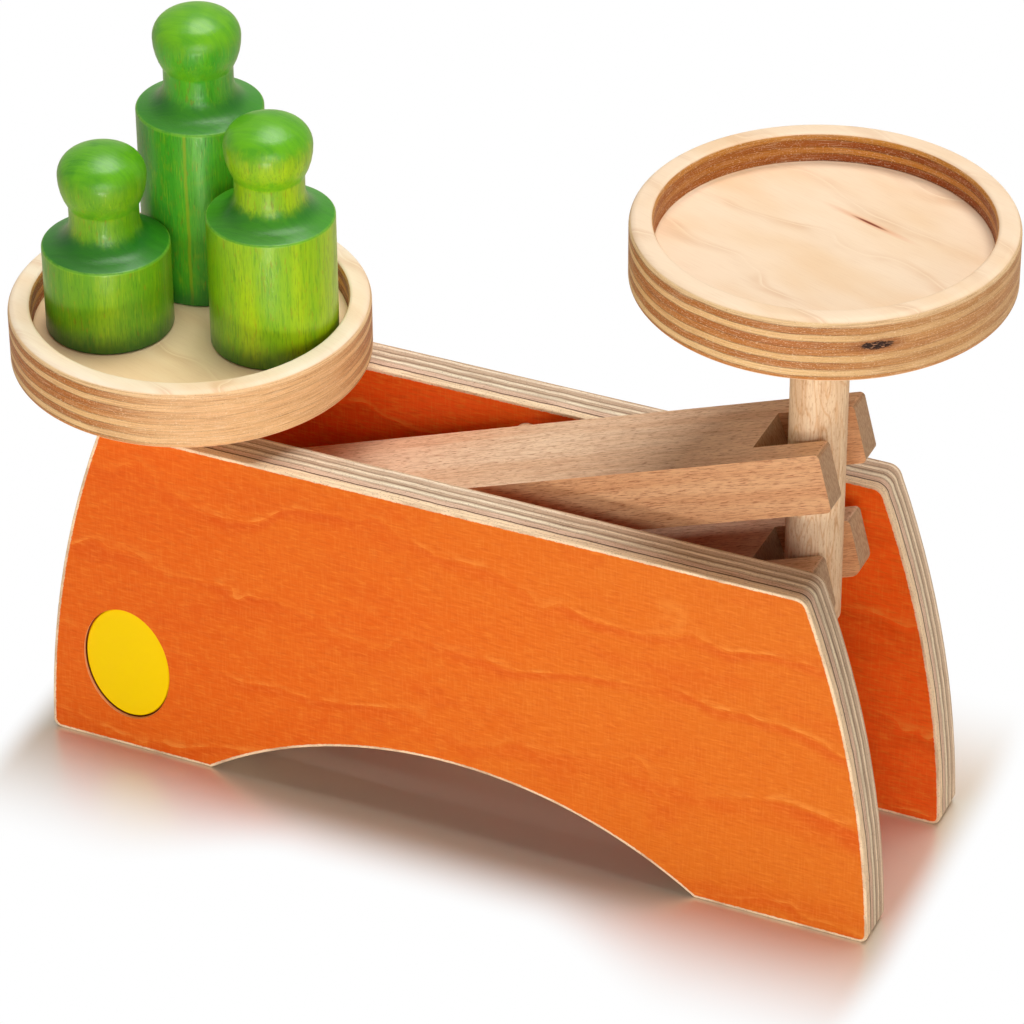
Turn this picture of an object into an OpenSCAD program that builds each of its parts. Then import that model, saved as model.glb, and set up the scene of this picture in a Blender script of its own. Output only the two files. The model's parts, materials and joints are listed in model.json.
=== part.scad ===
// Wooden balance scale for a toy shop.
// Two plywood panels stand on their feet and carry two parallel beams on steel axles.
// The forked ends of both beams hold an upright column on each side, so the four pivots
// of a side form a parallelogram and the pans stay level while the beams tip.
// X runs along the beams, Y from the front panel to the back panel and Z is up.
// The origin lies on the ground, midway between the pans and midway between the panels.
// The scale is drawn with three weights on the left pan, so the right pan is up.

/* [Side panels] */
// Thickness of the plywood of each side panel
panel_t = 15; // [10:0.5:20]
// Clear distance between the inner faces of the two panels
panel_gap = 51; // [46:0.5:60]
// Height of the panels
panel_h = 124; // [118:1:130]
// Length of a panel along the ground
panel_foot_l = 288; // [270:1:320]
// Length of a panel along its top edge, before the corners are rounded
panel_top_l = 239; // [220:1:260]
// Radius of the bow of the two end edges
panel_bow_r = 380; // [260:5:600]
// Radius of the upper corners
panel_top_corner_r = 4.5; // [2:0.5:12]
// Radius of the corners at the feet
panel_foot_corner_r = 3; // [1:0.5:6]
// Width of the arch between the two feet, along the ground
arch_w = 171; // [120:1:190]
// Height of the arch above the ground
arch_h = 27.5; // [15:0.5:34]

/* [Badge] */
// Width of the bare oval badge
badge_w = 30.5; // [20:0.5:40]
// Height of the bare oval badge
badge_h = 42; // [24:0.5:50]
// Thickness of the badge
badge_t = 1.6; // [0.8:0.1:3]
// Depth of the badge's face below the face of the panel
badge_sunk = 0.6; // [0:0.1:1]
// Gap between the edge of the badge and the edge of its pocket
badge_edge_gap = 0.4; // [0.1:0.05:0.6]
// Distance of the badge's middle from the middle of the panel
badge_out = 115; // [90:1:118]
// Height of the badge's middle above the ground
badge_up = 33; // [28:0.5:60]

/* [Beams] */
// Length of each beam, along its upper edge
beam_l = 249; // [232:1:270]
// Height of each beam
beam_h = 20; // [16:0.5:24]
// Width of each beam across the panels
beam_w = 39; // [34:0.5:41]
// Height of the row of pivot holes above the middle of the beam
hole_rise = 3; // [0:0.5:4]
// Distance of the outer pivot holes from the ends of the beam
pivot_inset = 10.5; // [8.5:0.5:14]
// Width of the slot in each forked end
slot_w = 21; // [19.5:0.5:24]
// Length of the slot, from the end of the beam
slot_l = 26; // [25.5:0.5:32]
// Angle by which the ends of the beams are cut back towards their lower edge
end_slant = 6; // [0:0.5:8]
// Radius of the lower corners of the upper beam's ends
upper_beam_corner_r = 2; // [1:0.5:5]
// Radius of the lower corners of the lower beam's ends
lower_beam_corner_r = 4.5; // [1:0.5:6]
// Radius of the upper corners of the beams' ends
beam_top_corner_r = 1.5; // [0.5:0.5:4]
// Distance of the upper axle below the top edge of the panels
upper_axle_down = 11.5; // [10:0.5:16]
// Distance between the upper and the lower axle
axle_drop = 42; // [38:0.5:46]
// Angle of the beams when a pan is all the way down
tilt = 20.2; // [12:0.1:21]

/* [Axles and pins] */
// Diameter of the two steel axles
axle_d = 6; // [4:0.5:8]
// Depth of the blind axle holes in the panels
axle_seat = 10; // [5:0.5:12]
// Diameter of the turned spacers that keep the beams midway between the panels
spacer_d = 10; // [9:0.5:16]
// Diameter of the steel pins through the columns
pin_d = 5; // [3:0.5:6]
// Wood left over the blind end of a pin hole
pin_cover = 3; // [1.5:0.5:5]
// Gap at the blind end of an axle, a pin or a rod
end_gap = 0.2; // [0.1:0.1:0.5]
// Clearance round a pin or an axle that is fixed in its hole
fixed_gap = 0.03; // [0.01:0.01:0.05]
// Clearance round a pin or an axle on which a piece turns
turning_gap = 0.08; // [0.02:0.01:0.1]
// Clearance round the lower pins in the columns
lower_pin_gap = 0.35; // [0.25:0.05:0.6]
// Sideways play between a spacer and its beam
side_play = 0.3; // [0.2:0.05:0.6]

/* [Stop rods] */
// Diameter of the two rods that join the panels and stop the lower beam
stop_d = 12; // [8:0.5:14]
// Distance of each rod from the middle of its column, towards the middle of the scale
stop_in = 27; // [20:1:33]
// Depth of the blind rod holes in the panels
stop_seat = 9; // [5:0.5:12]
// Gap between the lower beam and the rod that it comes to rest on
stop_gap = 0.3; // [0.2:0.05:0.5]

/* [Columns] */
// Diameter of the upright columns
column_d = 18; // [14:0.5:19]
// Length of a column above its upper pivot, up to the pan
column_above = 59; // [50:0.5:70]
// Length of a column below its upper pivot
column_below = 62; // [52:0.5:66]
// Bevel round the lower end of a column
column_bevel = 1; // [0.4:0.1:2]
// Diameter of the tenon that is glued into the pan
tenon_d = 12; // [8:0.5:13.5]
// Length of the tenon
tenon_l = 7; // [4:0.5:9]

/* [Pans] */
// Outer diameter of a pan
pan_d = 116; // [104:1:124]
// Thickness of the plywood that a pan is turned from
pan_t = 21; // [17:0.5:26]
// Width of the rim
rim_w = 7.3; // [5:0.1:12]
// Depth of the recess
recess = 9.8; // [6:0.2:12]
// Radius of the outer edges of a pan
pan_edge_r = 2.5; // [1:0.25:4]
// Radius of the inner edge of the rim
rim_edge_r = 1.6; // [0.5:0.1:3]
// Radius of the hollow between the recess and its floor
floor_fillet_r = 1; // [0.5:0.1:2]

/* [Weights] */
// Diameter of the body of all three weights
weight_d = 41; // [34:0.5:41]
// Height of the body of the small weight
small_body = 29.7; // [20:0.1:34]
// Height of the body of the medium weight
medium_body = 45.4; // [36:0.1:50]
// Height of the body of the tall weight
tall_body = 62.9; // [52:0.1:70]
// Radius of the edges of the body
weight_edge_r = 0.9; // [0.5:0.1:3]
// Diameter of the neck
neck_d = 22.4; // [18:0.2:24]
// Width of the knob at its widest place
knob_d = 28.2; // [25:0.2:32]
// Height of the knob's widest place above the body
knob_up = 24.8; // [20:0.1:28]
// Height of the domed top above the knob's widest place
knob_top = 9.6; // [9.2:0.1:12]
// Radius of the knob's shoulder, where its side turns into the flatter dome
knob_shoulder_r = 7.8; // [5:0.1:8.6]
// Radius of the knob's side below its widest place
knob_under_r = 20.6; // [16:0.2:30]
// Slope of the body's top towards the neck, in degrees
top_slope = 18; // [8:1:24]
// Radius of the hollow where the neck meets the body
neck_foot_r = 8.5; // [6:0.5:11]
// Radius of the hollow where the neck meets the knob
neck_top_r = 3.5; // [1:0.25:5]

/* [Hidden] */
$fn = 96;

// How far a cut runs past the surface that it opens
overrun = 1;
// Number of corners of the oval badge
badge_sides = 72;

// Places of the weights on the left pan, from the middle of the pan
small_place = [-23.7, -10.1];
medium_place = [28.7, 2.7];
tall_place = [-8.5, 28.4];

upper_axle_up = panel_h - upper_axle_down;
lower_axle_up = upper_axle_up - axle_drop;
arm = beam_l / 2 - pivot_inset;
side_out = arm * cos(tilt);
side_rise = arm * sin(tilt);
stop_out = side_out - stop_in;
spacer_l = (panel_gap - beam_w) / 2 - side_play;
axle_l = panel_gap + 2 * (axle_seat - end_gap);
stop_l = panel_gap + 2 * (stop_seat - end_gap);
pin_hole_l = beam_w - pin_cover;
beam_under = beam_h / 2 + hole_rise;
stop_up = lower_axle_up - (beam_under + stop_d / 2 + stop_gap + stop_out * sin(tilt)) / cos(tilt);
pan_floor = column_above + pan_t - recess;
recess_r = pan_d / 2 - rim_w;

// Centre of the bow of the right end edge, from the two corners that the bow runs through
foot_corner = [panel_foot_l / 2, 0];
top_corner = [panel_top_l / 2, panel_h];
bow_chord = top_corner - foot_corner;
bow_across = [-bow_chord[1], bow_chord[0]] / norm(bow_chord);
bow_depth = sqrt(pow(panel_bow_r, 2) - pow(norm(bow_chord) / 2, 2));
bow_centre = (foot_corner + top_corner) / 2 + bow_across * bow_depth;

// Radius of the arch, from its width and height
arch_r = (pow(arch_w / 2, 2) + pow(arch_h, 2)) / (2 * arch_h);

// What lies outside a rounded corner, from its tip and the two directions of its edges
module corner_cut(tip, way_a, way_b, r) {
    half = acos(way_a * way_b) / 2;
    middle = tip + (way_a + way_b) / norm(way_a + way_b) * r / sin(half);
    reach = (r + overrun) / r;
    difference() {
        polygon([
            middle,
            middle + (tip + way_a * r / tan(half) - middle) * reach,
            middle + (tip - middle) * reach,
            middle + (tip + way_b * r / tan(half) - middle) * reach
        ]);
        translate(middle)
            circle(r);
    }
}

// Middle of the circle that rounds a corner of the bowed end edge, at a given height
function corner_middle(r, up) =
    [bow_centre[0] + sqrt(pow(panel_bow_r - r, 2) - pow(up - bow_centre[1], 2)), up];

// What lies outside a rounded corner of the bowed end edge, with its level edge at up + way * r
module bowed_corner_cut(r, up, way) {
    middle = corner_middle(r, up);
    out = (middle - bow_centre) / norm(middle - bow_centre);
    reach = panel_h / 4;
    difference() {
        polygon([
            middle,
            middle + [0, way * reach],
            middle + [reach, way * reach],
            middle + out * reach
        ]);
        translate(middle)
            circle(r);
    }
}

// Outline of a side panel, seen from the front
module panel_outline() {
    difference() {
        intersection() {
            translate([-panel_foot_l, 0])
                square([2 * panel_foot_l, panel_h]);
            translate(bow_centre)
                circle(panel_bow_r, $fn = 360);
            mirror([1, 0])
                translate(bow_centre)
                    circle(panel_bow_r, $fn = 360);
        }
        for (side = [0, 1])
            mirror([side, 0]) {
                bowed_corner_cut(panel_top_corner_r, panel_h - panel_top_corner_r, 1);
                bowed_corner_cut(panel_foot_corner_r, panel_foot_corner_r, -1);
            }
        translate([0, arch_h - arch_r])
            circle(arch_r, $fn = 240);
    }
}

// Round hole or rod along Y, from one depth to another
module across(d, from, to) {
    translate([0, to, 0])
        rotate([90, 0, 0])
            cylinder(d = d, h = to - from);
}

// A panel with its inner face on the plane y = 0 and its body towards -Y
module panel_blank() {
    difference() {
        rotate([90, 0, 0])
            linear_extrude(panel_t)
                panel_outline();
        for (up = [upper_axle_up, lower_axle_up])
            translate([0, 0, up])
                across(axle_d + 2 * fixed_gap, -axle_seat, overrun);
        for (side = [-1, 1])
            translate([side * stop_out, 0, stop_up])
                across(stop_d + 2 * fixed_gap, -stop_seat, overrun);
    }
}

// Upright oval, as a regular ring of points
module oval(w, h) {
    polygon([
        for (i = [0 : badge_sides - 1])
            [w / 2 * cos(i * 360 / badge_sides), h / 2 * sin(i * 360 / badge_sides)]
    ]);
}

module front_panel() {
    color("#f07020")
        translate([0, -panel_gap / 2, 0])
            difference() {
                panel_blank();
                translate([-badge_out, badge_t + badge_sunk - panel_t, badge_up])
                    rotate([90, 0, 0])
                        linear_extrude(badge_t + badge_sunk + overrun)
                            oval(badge_w + 2 * badge_edge_gap, badge_h + 2 * badge_edge_gap);
            }
}

module back_panel() {
    color("#f07020")
        translate([0, panel_gap / 2, 0])
            mirror([0, 1, 0])
                panel_blank();
}

module badge() {
    color("#ffc800")
        translate([-badge_out, badge_t + badge_sunk - panel_t - panel_gap / 2, badge_up])
            rotate([90, 0, 0])
                linear_extrude(badge_t)
                    oval(badge_w, badge_h);
}

// Steel axle between the blind holes of both panels
module axle(up) {
    color("#b8bcc0")
        translate([0, 0, up])
            across(axle_d, -axle_l / 2, axle_l / 2);
}

// Turned spacer on an axle, against the inner face of a panel
module spacer(up, side) {
    color("#e6c7a0")
        translate([0, side * (panel_gap / 2 - spacer_l / 2), up])
            difference() {
                across(spacer_d, -spacer_l / 2, spacer_l / 2);
                across(axle_d + 2 * fixed_gap, -spacer_l, spacer_l);
            }
}

// Cross rod that holds the panels together and stops the lower beam
module stop_rod(side) {
    color("#e6c7a0")
        translate([side * stop_out, 0, stop_up])
            across(stop_d, -stop_l / 2, stop_l / 2);
}

// Puts a piece that is drawn level, with its axle at the origin, on its axle at the tilt
module on_axle(up) {
    translate([0, 0, up])
        rotate([0, -tilt, 0])
            children();
}

// Outline of a beam with its sloped and rounded ends, drawn round its axle
module beam_outline(low_corner_r) {
    top = [beam_l / 2, beam_h - beam_under];
    low = [beam_l / 2 - beam_h * tan(end_slant), -beam_under];
    down = (low - top) / norm(low - top);
    difference() {
        polygon([top, low, [-low[0], low[1]], [-top[0], top[1]]]);
        for (side = [0, 1])
            mirror([side, 0]) {
                corner_cut(top, [-1, 0], down, beam_top_corner_r);
                corner_cut(low, [-1, 0], -down, low_corner_r);
            }
    }
}

// Beam with forked ends, drawn level with its axle at the origin
module beam(low_corner_r) {
    difference() {
        translate([0, beam_w / 2, 0])
            rotate([90, 0, 0])
                linear_extrude(beam_w)
                    beam_outline(low_corner_r);
        across(axle_d + 2 * turning_gap, -beam_w, beam_w);
        for (side = [0, 1])
            mirror([side, 0, 0]) {
                translate([beam_l / 2 - slot_l, -slot_w / 2, -beam_h])
                    cube([slot_l + overrun, slot_w, 2 * beam_h]);
                translate([arm, 0, 0])
                    across(pin_d + 2 * fixed_gap, beam_w / 2 - pin_hole_l, beam_w / 2 + overrun);
            }
    }
}

module upper_beam() {
    color("#d9a77c")
        on_axle(upper_axle_up)
            beam(upper_beam_corner_r);
}

module lower_beam() {
    color("#cf9c72")
        on_axle(lower_axle_up)
            beam(lower_beam_corner_r);
}

// Steel pin through a forked end, flush with the back of the beam
module pin(up, side) {
    color("#b8bcc0")
        on_axle(up)
            translate([side * arm, 0, 0])
                across(pin_d, beam_w / 2 - pin_hole_l + end_gap, beam_w / 2);
}

// Puts a piece that is drawn round its upper pivot on the left or the right side
module at_side(side) {
    translate([side * side_out, 0, upper_axle_up + side * side_rise])
        children();
}

// Column with its tenon, drawn round its upper pivot
module column(side) {
    color("#e6c7a0")
        at_side(side)
            difference() {
                rotate_extrude()
                    polygon([
                        [0, -column_below],
                        [column_d / 2 - column_bevel, -column_below],
                        [column_d / 2, column_bevel - column_below],
                        [column_d / 2, column_above],
                        [tenon_d / 2, column_above],
                        [tenon_d / 2, column_above + tenon_l],
                        [0, column_above + tenon_l]
                    ]);
                across(pin_d + 2 * turning_gap, -column_d, column_d);
                translate([0, 0, -axle_drop])
                    across(pin_d + 2 * lower_pin_gap, -column_d, column_d);
            }
}

// Half of the section of a pan, from its axis outwards
module pan_section() {
    difference() {
        square([pan_d / 2, pan_t]);
        corner_cut([pan_d / 2, 0], [-1, 0], [0, 1], pan_edge_r);
        corner_cut([pan_d / 2, pan_t], [-1, 0], [0, -1], pan_edge_r);
        difference() {
            translate([-overrun, pan_t - recess])
                square([recess_r + overrun, recess + overrun]);
            corner_cut([recess_r, pan_t - recess], [-1, 0], [0, 1], floor_fillet_r);
        }
        corner_cut([recess_r, pan_t], [1, 0], [0, -1], rim_edge_r);
        translate([-overrun, -overrun])
            square([tenon_d / 2 + fixed_gap + overrun, tenon_l + end_gap + overrun]);
    }
}

// Turned pan with the blind hole for its column
module pan(side) {
    color("#f3d9ae")
        at_side(side)
            translate([0, 0, column_above])
                rotate_extrude($fn = 180)
                    pan_section();
}

// Half of the section of a weight, from its axis outwards
module weight_section(body) {
    body_r = weight_d / 2;
    neck_r = neck_d / 2;
    level = body + knob_up;
    inwards = [-cos(top_slope), sin(top_slope)];
    foot = [
        neck_r + neck_foot_r,
        body + (neck_foot_r + (body_r - neck_r - neck_foot_r) * sin(top_slope)) / cos(top_slope)
    ];
    foot_touch = foot - neck_foot_r * [sin(top_slope), cos(top_slope)];
    under = [knob_d / 2 - knob_under_r, level];
    hollow = [
        neck_r + neck_top_r,
        level - sqrt(pow(knob_under_r + neck_top_r, 2) - pow(neck_r + neck_top_r - under[0], 2))
    ];
    touch = under + (hollow - under) * knob_under_r / (knob_under_r + neck_top_r);
    shoulder = [knob_d / 2 - knob_shoulder_r, level];
    rise = knob_top - knob_shoulder_r;
    dome_down = (pow(shoulder[0], 2) - pow(rise, 2)) / (2 * rise);
    dome = [0, level - dome_down];
    dome_r = knob_top + dome_down;
    dome_edge = dome + (shoulder - dome) / norm(shoulder - dome) * dome_r;
    intersection() {
        square([weight_d, level + 2 * knob_top]);
        union() {
            difference() {
                polygon([
                    [0, 0], [body_r, 0], [body_r, body], foot_touch, foot,
                    [neck_r, foot[1]], [0, foot[1]]
                ]);
                corner_cut([body_r, 0], [-1, 0], [0, 1], weight_edge_r);
                corner_cut([body_r, body], inwards, [0, -1], weight_edge_r);
                translate(foot)
                    circle(neck_foot_r);
            }
            translate([0, body])
                square([neck_r, knob_up]);
            difference() {
                polygon([[0, hollow[1]], hollow, touch, [0, level]]);
                translate(hollow)
                    circle(neck_top_r);
            }
            intersection() {
                translate(under)
                    circle(knob_under_r);
                translate([0, hollow[1]])
                    square([knob_d, level - hollow[1]]);
            }
            translate(shoulder)
                circle(knob_shoulder_r);
            intersection() {
                translate(dome)
                    circle(dome_r);
                translate([0, level - overrun])
                    square([dome_edge[0], knob_top + 2 * overrun]);
            }
        }
    }
}

// Turned weight, standing on the floor of the left pan
module weight(body, place) {
    color("#6cb41e")
        at_side(-1)
            translate([place[0], place[1], pan_floor])
                rotate_extrude()
                    weight_section(body);
}

front_panel();
back_panel();
badge();
axle(upper_axle_up);  // upper_axle
axle(lower_axle_up);  // lower_axle
spacer(upper_axle_up, -1);  // upper_front_spacer
spacer(upper_axle_up, 1);  // upper_back_spacer
spacer(lower_axle_up, -1);  // lower_front_spacer
spacer(lower_axle_up, 1);  // lower_back_spacer
stop_rod(-1);  // left_stop_rod
stop_rod(1);  // right_stop_rod
upper_beam();
lower_beam();
pin(upper_axle_up, -1);  // upper_left_pin
pin(upper_axle_up, 1);  // upper_right_pin
pin(lower_axle_up, -1);  // lower_left_pin
pin(lower_axle_up, 1);  // lower_right_pin
column(-1);  // left_column
column(1);  // right_column
pan(-1);  // left_pan
pan(1);  // right_pan
weight(small_body, small_place);  // small_weight
weight(medium_body, medium_place);  // medium_weight
weight(tall_body, tall_place);  // tall_weight
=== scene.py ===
# %% [markdown]
# This notebook dresses a wooden balance scale for a toy shop. Two plywood side panels stand on
# their feet, two beech beams tip between them, and each side holds a round pan on an upright
# column. Three green weights stand on the left pan. The construction comes from a fixed frame:
# every piece is already at its real size and place. What is made here is the finish, such as
# eased edges, the bands of the plywood, the grain of the beech and the stain over it.

# %% Load the fixed frame
import json
import math
from collections import namedtuple

import bmesh
import bpy
from mathutils import Euler, Matrix, Vector


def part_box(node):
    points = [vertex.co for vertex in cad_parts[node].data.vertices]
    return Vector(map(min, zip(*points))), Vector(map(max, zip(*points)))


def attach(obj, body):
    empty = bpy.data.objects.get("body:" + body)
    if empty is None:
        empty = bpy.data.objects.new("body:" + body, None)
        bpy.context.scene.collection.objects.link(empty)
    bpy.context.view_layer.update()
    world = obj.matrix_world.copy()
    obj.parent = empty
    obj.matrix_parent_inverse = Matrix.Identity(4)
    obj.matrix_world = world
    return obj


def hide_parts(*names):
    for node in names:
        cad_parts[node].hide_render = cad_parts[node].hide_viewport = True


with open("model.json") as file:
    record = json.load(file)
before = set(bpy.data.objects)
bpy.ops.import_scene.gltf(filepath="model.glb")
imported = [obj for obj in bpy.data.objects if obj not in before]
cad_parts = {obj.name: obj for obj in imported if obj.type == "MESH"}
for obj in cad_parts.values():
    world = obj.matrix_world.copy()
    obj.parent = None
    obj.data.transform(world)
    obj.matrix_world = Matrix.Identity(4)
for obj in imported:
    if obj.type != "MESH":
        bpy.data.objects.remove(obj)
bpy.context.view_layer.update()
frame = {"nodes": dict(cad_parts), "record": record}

MM = 0.001
record = frame["record"]
body_of = {node: body for body, nodes in record["behaviour"]["bodies"].items() for node in nodes}

# %% [markdown]
# Two small helpers come first. A colour is written as the hex value that a paint card would
# give, and one function turns it into the linear values that Blender calculates with. The other
# adds a node to a tree, for materials and for geometry alike. Settings are its keywords. Inputs
# are values or other nodes, and a node that stands for its first output keeps the lines short.

# %% Colour and node helpers
def linear(code):
    """An sRGB hex colour as linear red, green, blue and an alpha of 1."""
    shares = [int(code[i:i + 2], 16) / 255 for i in (1, 3, 5)]
    bent = [s / 12.92 if s <= 0.04045 else ((s + 0.055) / 1.055) ** 2.4 for s in shares]
    return (*bent, 1.0)


def add(tree, kind, inputs=(), **settings):
    """Adds a node. Its inputs are a list in their order or a dict by name or number. Each is a
    number, a vector, a hex colour, an output, or a node, which gives its first output."""
    node = tree.nodes.new(kind)
    for name, value in settings.items():
        setattr(node, name, value)
    for key, value in inputs.items() if isinstance(inputs, dict) else enumerate(inputs):
        if isinstance(value, bpy.types.Node):
            value = next(output for output in value.outputs if output.enabled)
        if isinstance(value, bpy.types.NodeSocket):
            tree.links.new(value, node.inputs[key])
        else:
            node.inputs[key].default_value = linear(value) if isinstance(value, str) else value
    return node


# %% [markdown]
# The camera stands where the photographer stood, a little right of the front and well above
# the scale, with a long lens that hardly bends the parallel edges. Its angles and distance were
# worked out from the outline of the two round pans. The lens is given as its focal length in
# pixels of the square frame, and the sensor's width turns that into millimetres.

# %% Camera
AZIMUTH = math.radians(24.27)
ELEVATION = math.radians(33.88)
ROLL = math.radians(-0.385)
DISTANCE = 1554.8 * MM
AIM = Vector((5.085, 0.0, 100.28)) * MM
SENSOR = 36.0
FRAME_PIXELS = 1024
FOCAL_PIXELS = 4910.21

back = Vector((
    math.sin(AZIMUTH) * math.cos(ELEVATION),
    -math.cos(AZIMUTH) * math.cos(ELEVATION),
    math.sin(ELEVATION),
))
level_right = Vector((math.cos(AZIMUTH), math.sin(AZIMUTH), 0.0))
level_up = back.cross(level_right)
right = level_right * math.cos(ROLL) + level_up * math.sin(ROLL)
up = level_up * math.cos(ROLL) - level_right * math.sin(ROLL)

lens_data = bpy.data.cameras.new("camera")
lens_data.sensor_width = SENSOR
lens_data.lens = FOCAL_PIXELS * SENSOR / FRAME_PIXELS
camera = bpy.data.objects.new("camera", lens_data)
scene = bpy.context.scene
scene.collection.objects.link(camera)
camera.matrix_world = (
    Matrix.Translation(AIM + back * DISTANCE)
    @ Matrix((right, up, back)).transposed().to_4x4()
)
scene.camera = camera
scene.view_settings.view_transform = "Standard"
print("camera at", [round(v, 3) for v in camera.location], "lens", round(lens_data.lens, 1))

# %% [markdown]
# A studio table for small goods is a glossy pale sheet. This one is a flat square just below the
# feet, and its material mixes a matt cream with a blurred gloss, so that an orange reflection
# lies in front of the feet. As on a catalogue photo, the sheet fades to pure white a few
# centimetres away from the scale. Only the camera sees that white, so the sheet still throws the
# same cream light back on the wood.

# %% Table
TABLE_HALF = 6.0
TABLE_DROP = 0.05 * MM

table_mesh = bpy.data.meshes.new("table")
table_mesh.from_pydata(
    [(sx * TABLE_HALF, sy * TABLE_HALF, -TABLE_DROP) for sx, sy in ((-1, -1), (1, -1), (1, 1), (-1, 1))],
    [], [(0, 1, 2, 3)],
)
table = bpy.data.objects.new("table", table_mesh)
scene.collection.objects.link(table)
print("table:", 2 * TABLE_HALF, "m wide")

# %% [markdown]
# The fade is worked out from the distance to the rectangle that the feet cover. The sheet turns
# white later in front of the feet, where the shadow is deep, than in front of the arch. Sideways
# the distance counts several times, which keeps the fade narrow at both ends. Map Range with
# smooth steps does all of this, and the same soft step comes back in the materials below.

# %% Surface of the table
SOFT = {"interpolation_type": "SMOOTHSTEP"}
GLOSS_SHARE = 0.34
FOOT_HALF = (0.144, 0.041)
ARCH_TO_FEET = (0.04, 0.10)
WHITE_AT_ARCH = 0.034
WHITE_AT_FEET = 0.060
SIDEWAYS_TIMES = 4.2
START_AT_ARCH = 0.1
START_AT_FEET = -0.07


def new_material(name):
    """An empty material and its tree."""
    material = bpy.data.materials.new(name)
    material.use_nodes = True
    material.node_tree.nodes.clear()
    return material, material.node_tree


def beyond_feet(tree, distance, half):
    """How far a distance from the middle goes past the feet, and 0 before that."""
    past = add(tree, "ShaderNodeMath", [distance, half], operation="SUBTRACT")
    return add(tree, "ShaderNodeMath", [past, 0.0], operation="MAXIMUM")


sheet, tree = new_material("white_acrylic_sheet")
matt = add(tree, "ShaderNodeBsdfDiffuse", {"Color": "#dacdba"})
gloss = add(tree, "ShaderNodeBsdfGlossy", {"Color": "#fff0dc", "Roughness": 0.3})
near = add(tree, "ShaderNodeMixShader", [GLOSS_SHARE, matt, gloss])

here = add(tree, "ShaderNodeTexCoord").outputs["Object"]
across, deep, _ = add(tree, "ShaderNodeSeparateXYZ", [here]).outputs
across = add(tree, "ShaderNodeMath", [across], operation="ABSOLUTE")
deep = add(tree, "ShaderNodeMath", [deep], operation="ABSOLUTE")
aside = add(tree, "ShaderNodeMath", [beyond_feet(tree, across, FOOT_HALF[0]), SIDEWAYS_TIMES],
            operation="MULTIPLY")
beyond = add(tree, "ShaderNodeCombineXYZ", [aside, beyond_feet(tree, deep, FOOT_HALF[1])])
beyond = add(tree, "ShaderNodeVectorMath", [beyond], operation="LENGTH")
reach = add(tree, "ShaderNodeMapRange", [across, *ARCH_TO_FEET, WHITE_AT_ARCH, WHITE_AT_FEET], **SOFT)
start = add(tree, "ShaderNodeMapRange", [across, *ARCH_TO_FEET, START_AT_ARCH, START_AT_FEET], **SOFT)
share = add(tree, "ShaderNodeMath", [beyond, reach], operation="DIVIDE")
faded = add(tree, "ShaderNodeMapRange", [share, start, 1.0], **SOFT)
seen = add(tree, "ShaderNodeLightPath").outputs["Is Camera Ray"]
faded = add(tree, "ShaderNodeMath", [faded, seen], operation="MULTIPLY")
paper_white = add(tree, "ShaderNodeEmission", {"Color": "#ffffff", "Strength": 1.0})
blend = add(tree, "ShaderNodeMixShader", [faded, near, paper_white])
add(tree, "ShaderNodeOutputMaterial", {"Surface": blend})
table_mesh.materials.append(sheet)
print("white from", WHITE_AT_ARCH, "m before the arch and", WHITE_AT_FEET, "m before the feet")

# %% [markdown]
# Two very soft suns stand for the studio's softboxes, because a sun lights the whole sheet evenly
# and so leaves no edge in the picture. A small lamp the shape of a card stands low in front. It
# adds hardly any light, but the lacquer mirrors it as the crisp highlights on knobs and necks.

# %% Lamps
LAMPS = {
    "softbox_above": {"towards": (0.05, 0.20, 1.0), "strength": 2.6, "spread": 38},
    "window_in_front": {"towards": (0.50, -0.80, 0.10), "strength": 1.55, "spread": 40},
}
for name, facts in LAMPS.items():
    lamp_data = bpy.data.lights.new(name, "SUN")
    lamp_data.energy = facts["strength"]
    lamp_data.angle = math.radians(facts["spread"])
    lamp = bpy.data.objects.new(name, lamp_data)
    lamp.rotation_euler = Vector(facts["towards"]).to_track_quat("Z", "Y").to_euler()
    scene.collection.objects.link(lamp)

CARD_SIZE = (0.10, 0.04)
CARD_PLACE = Vector((0.10, -0.46, 0.04))
CARD_AIM = Vector((-0.06, 0.0, 0.17))
card_data = bpy.data.lights.new("small_card_in_front", "AREA")
card_data.shape = "RECTANGLE"
card_data.size, card_data.size_y = CARD_SIZE
card_data.energy = 0.5
card = bpy.data.objects.new("small_card_in_front", card_data)
card.location = CARD_PLACE
card.rotation_euler = (CARD_PLACE - CARD_AIM).to_track_quat("Z", "Y").to_euler()
card.visible_camera = False
scene.collection.objects.link(card)
print("lamps:", ", ".join([*LAMPS, card.name]))

# %% [markdown]
# The world gives a weak even fill. The camera sees it as pure white, so the table runs into it,
# and mirroring surfaces see it partly white, as they would a bright room.

# %% World
FILL = 0.15
MIRRORED_WHITE = 0.4
world = bpy.data.worlds.new("studio")
world.use_nodes = True
scene.world = world
tree = world.node_tree
tree.nodes.clear()
path = add(tree, "ShaderNodeLightPath").outputs
mirrored = add(tree, "ShaderNodeMath", [path["Is Glossy Ray"], MIRRORED_WHITE], operation="MULTIPLY")
seen = add(tree, "ShaderNodeMath", [path["Is Camera Ray"], mirrored], operation="MAXIMUM")
fill = add(tree, "ShaderNodeBackground", {"Color": "#ffffff", "Strength": FILL})
white = add(tree, "ShaderNodeBackground", {"Color": "#ffffff", "Strength": 1.0})
both = add(tree, "ShaderNodeMixShader", [seen, fill, white])
add(tree, "ShaderNodeOutputWorld", {"Surface": both})
print("fill:", FILL)
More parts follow.
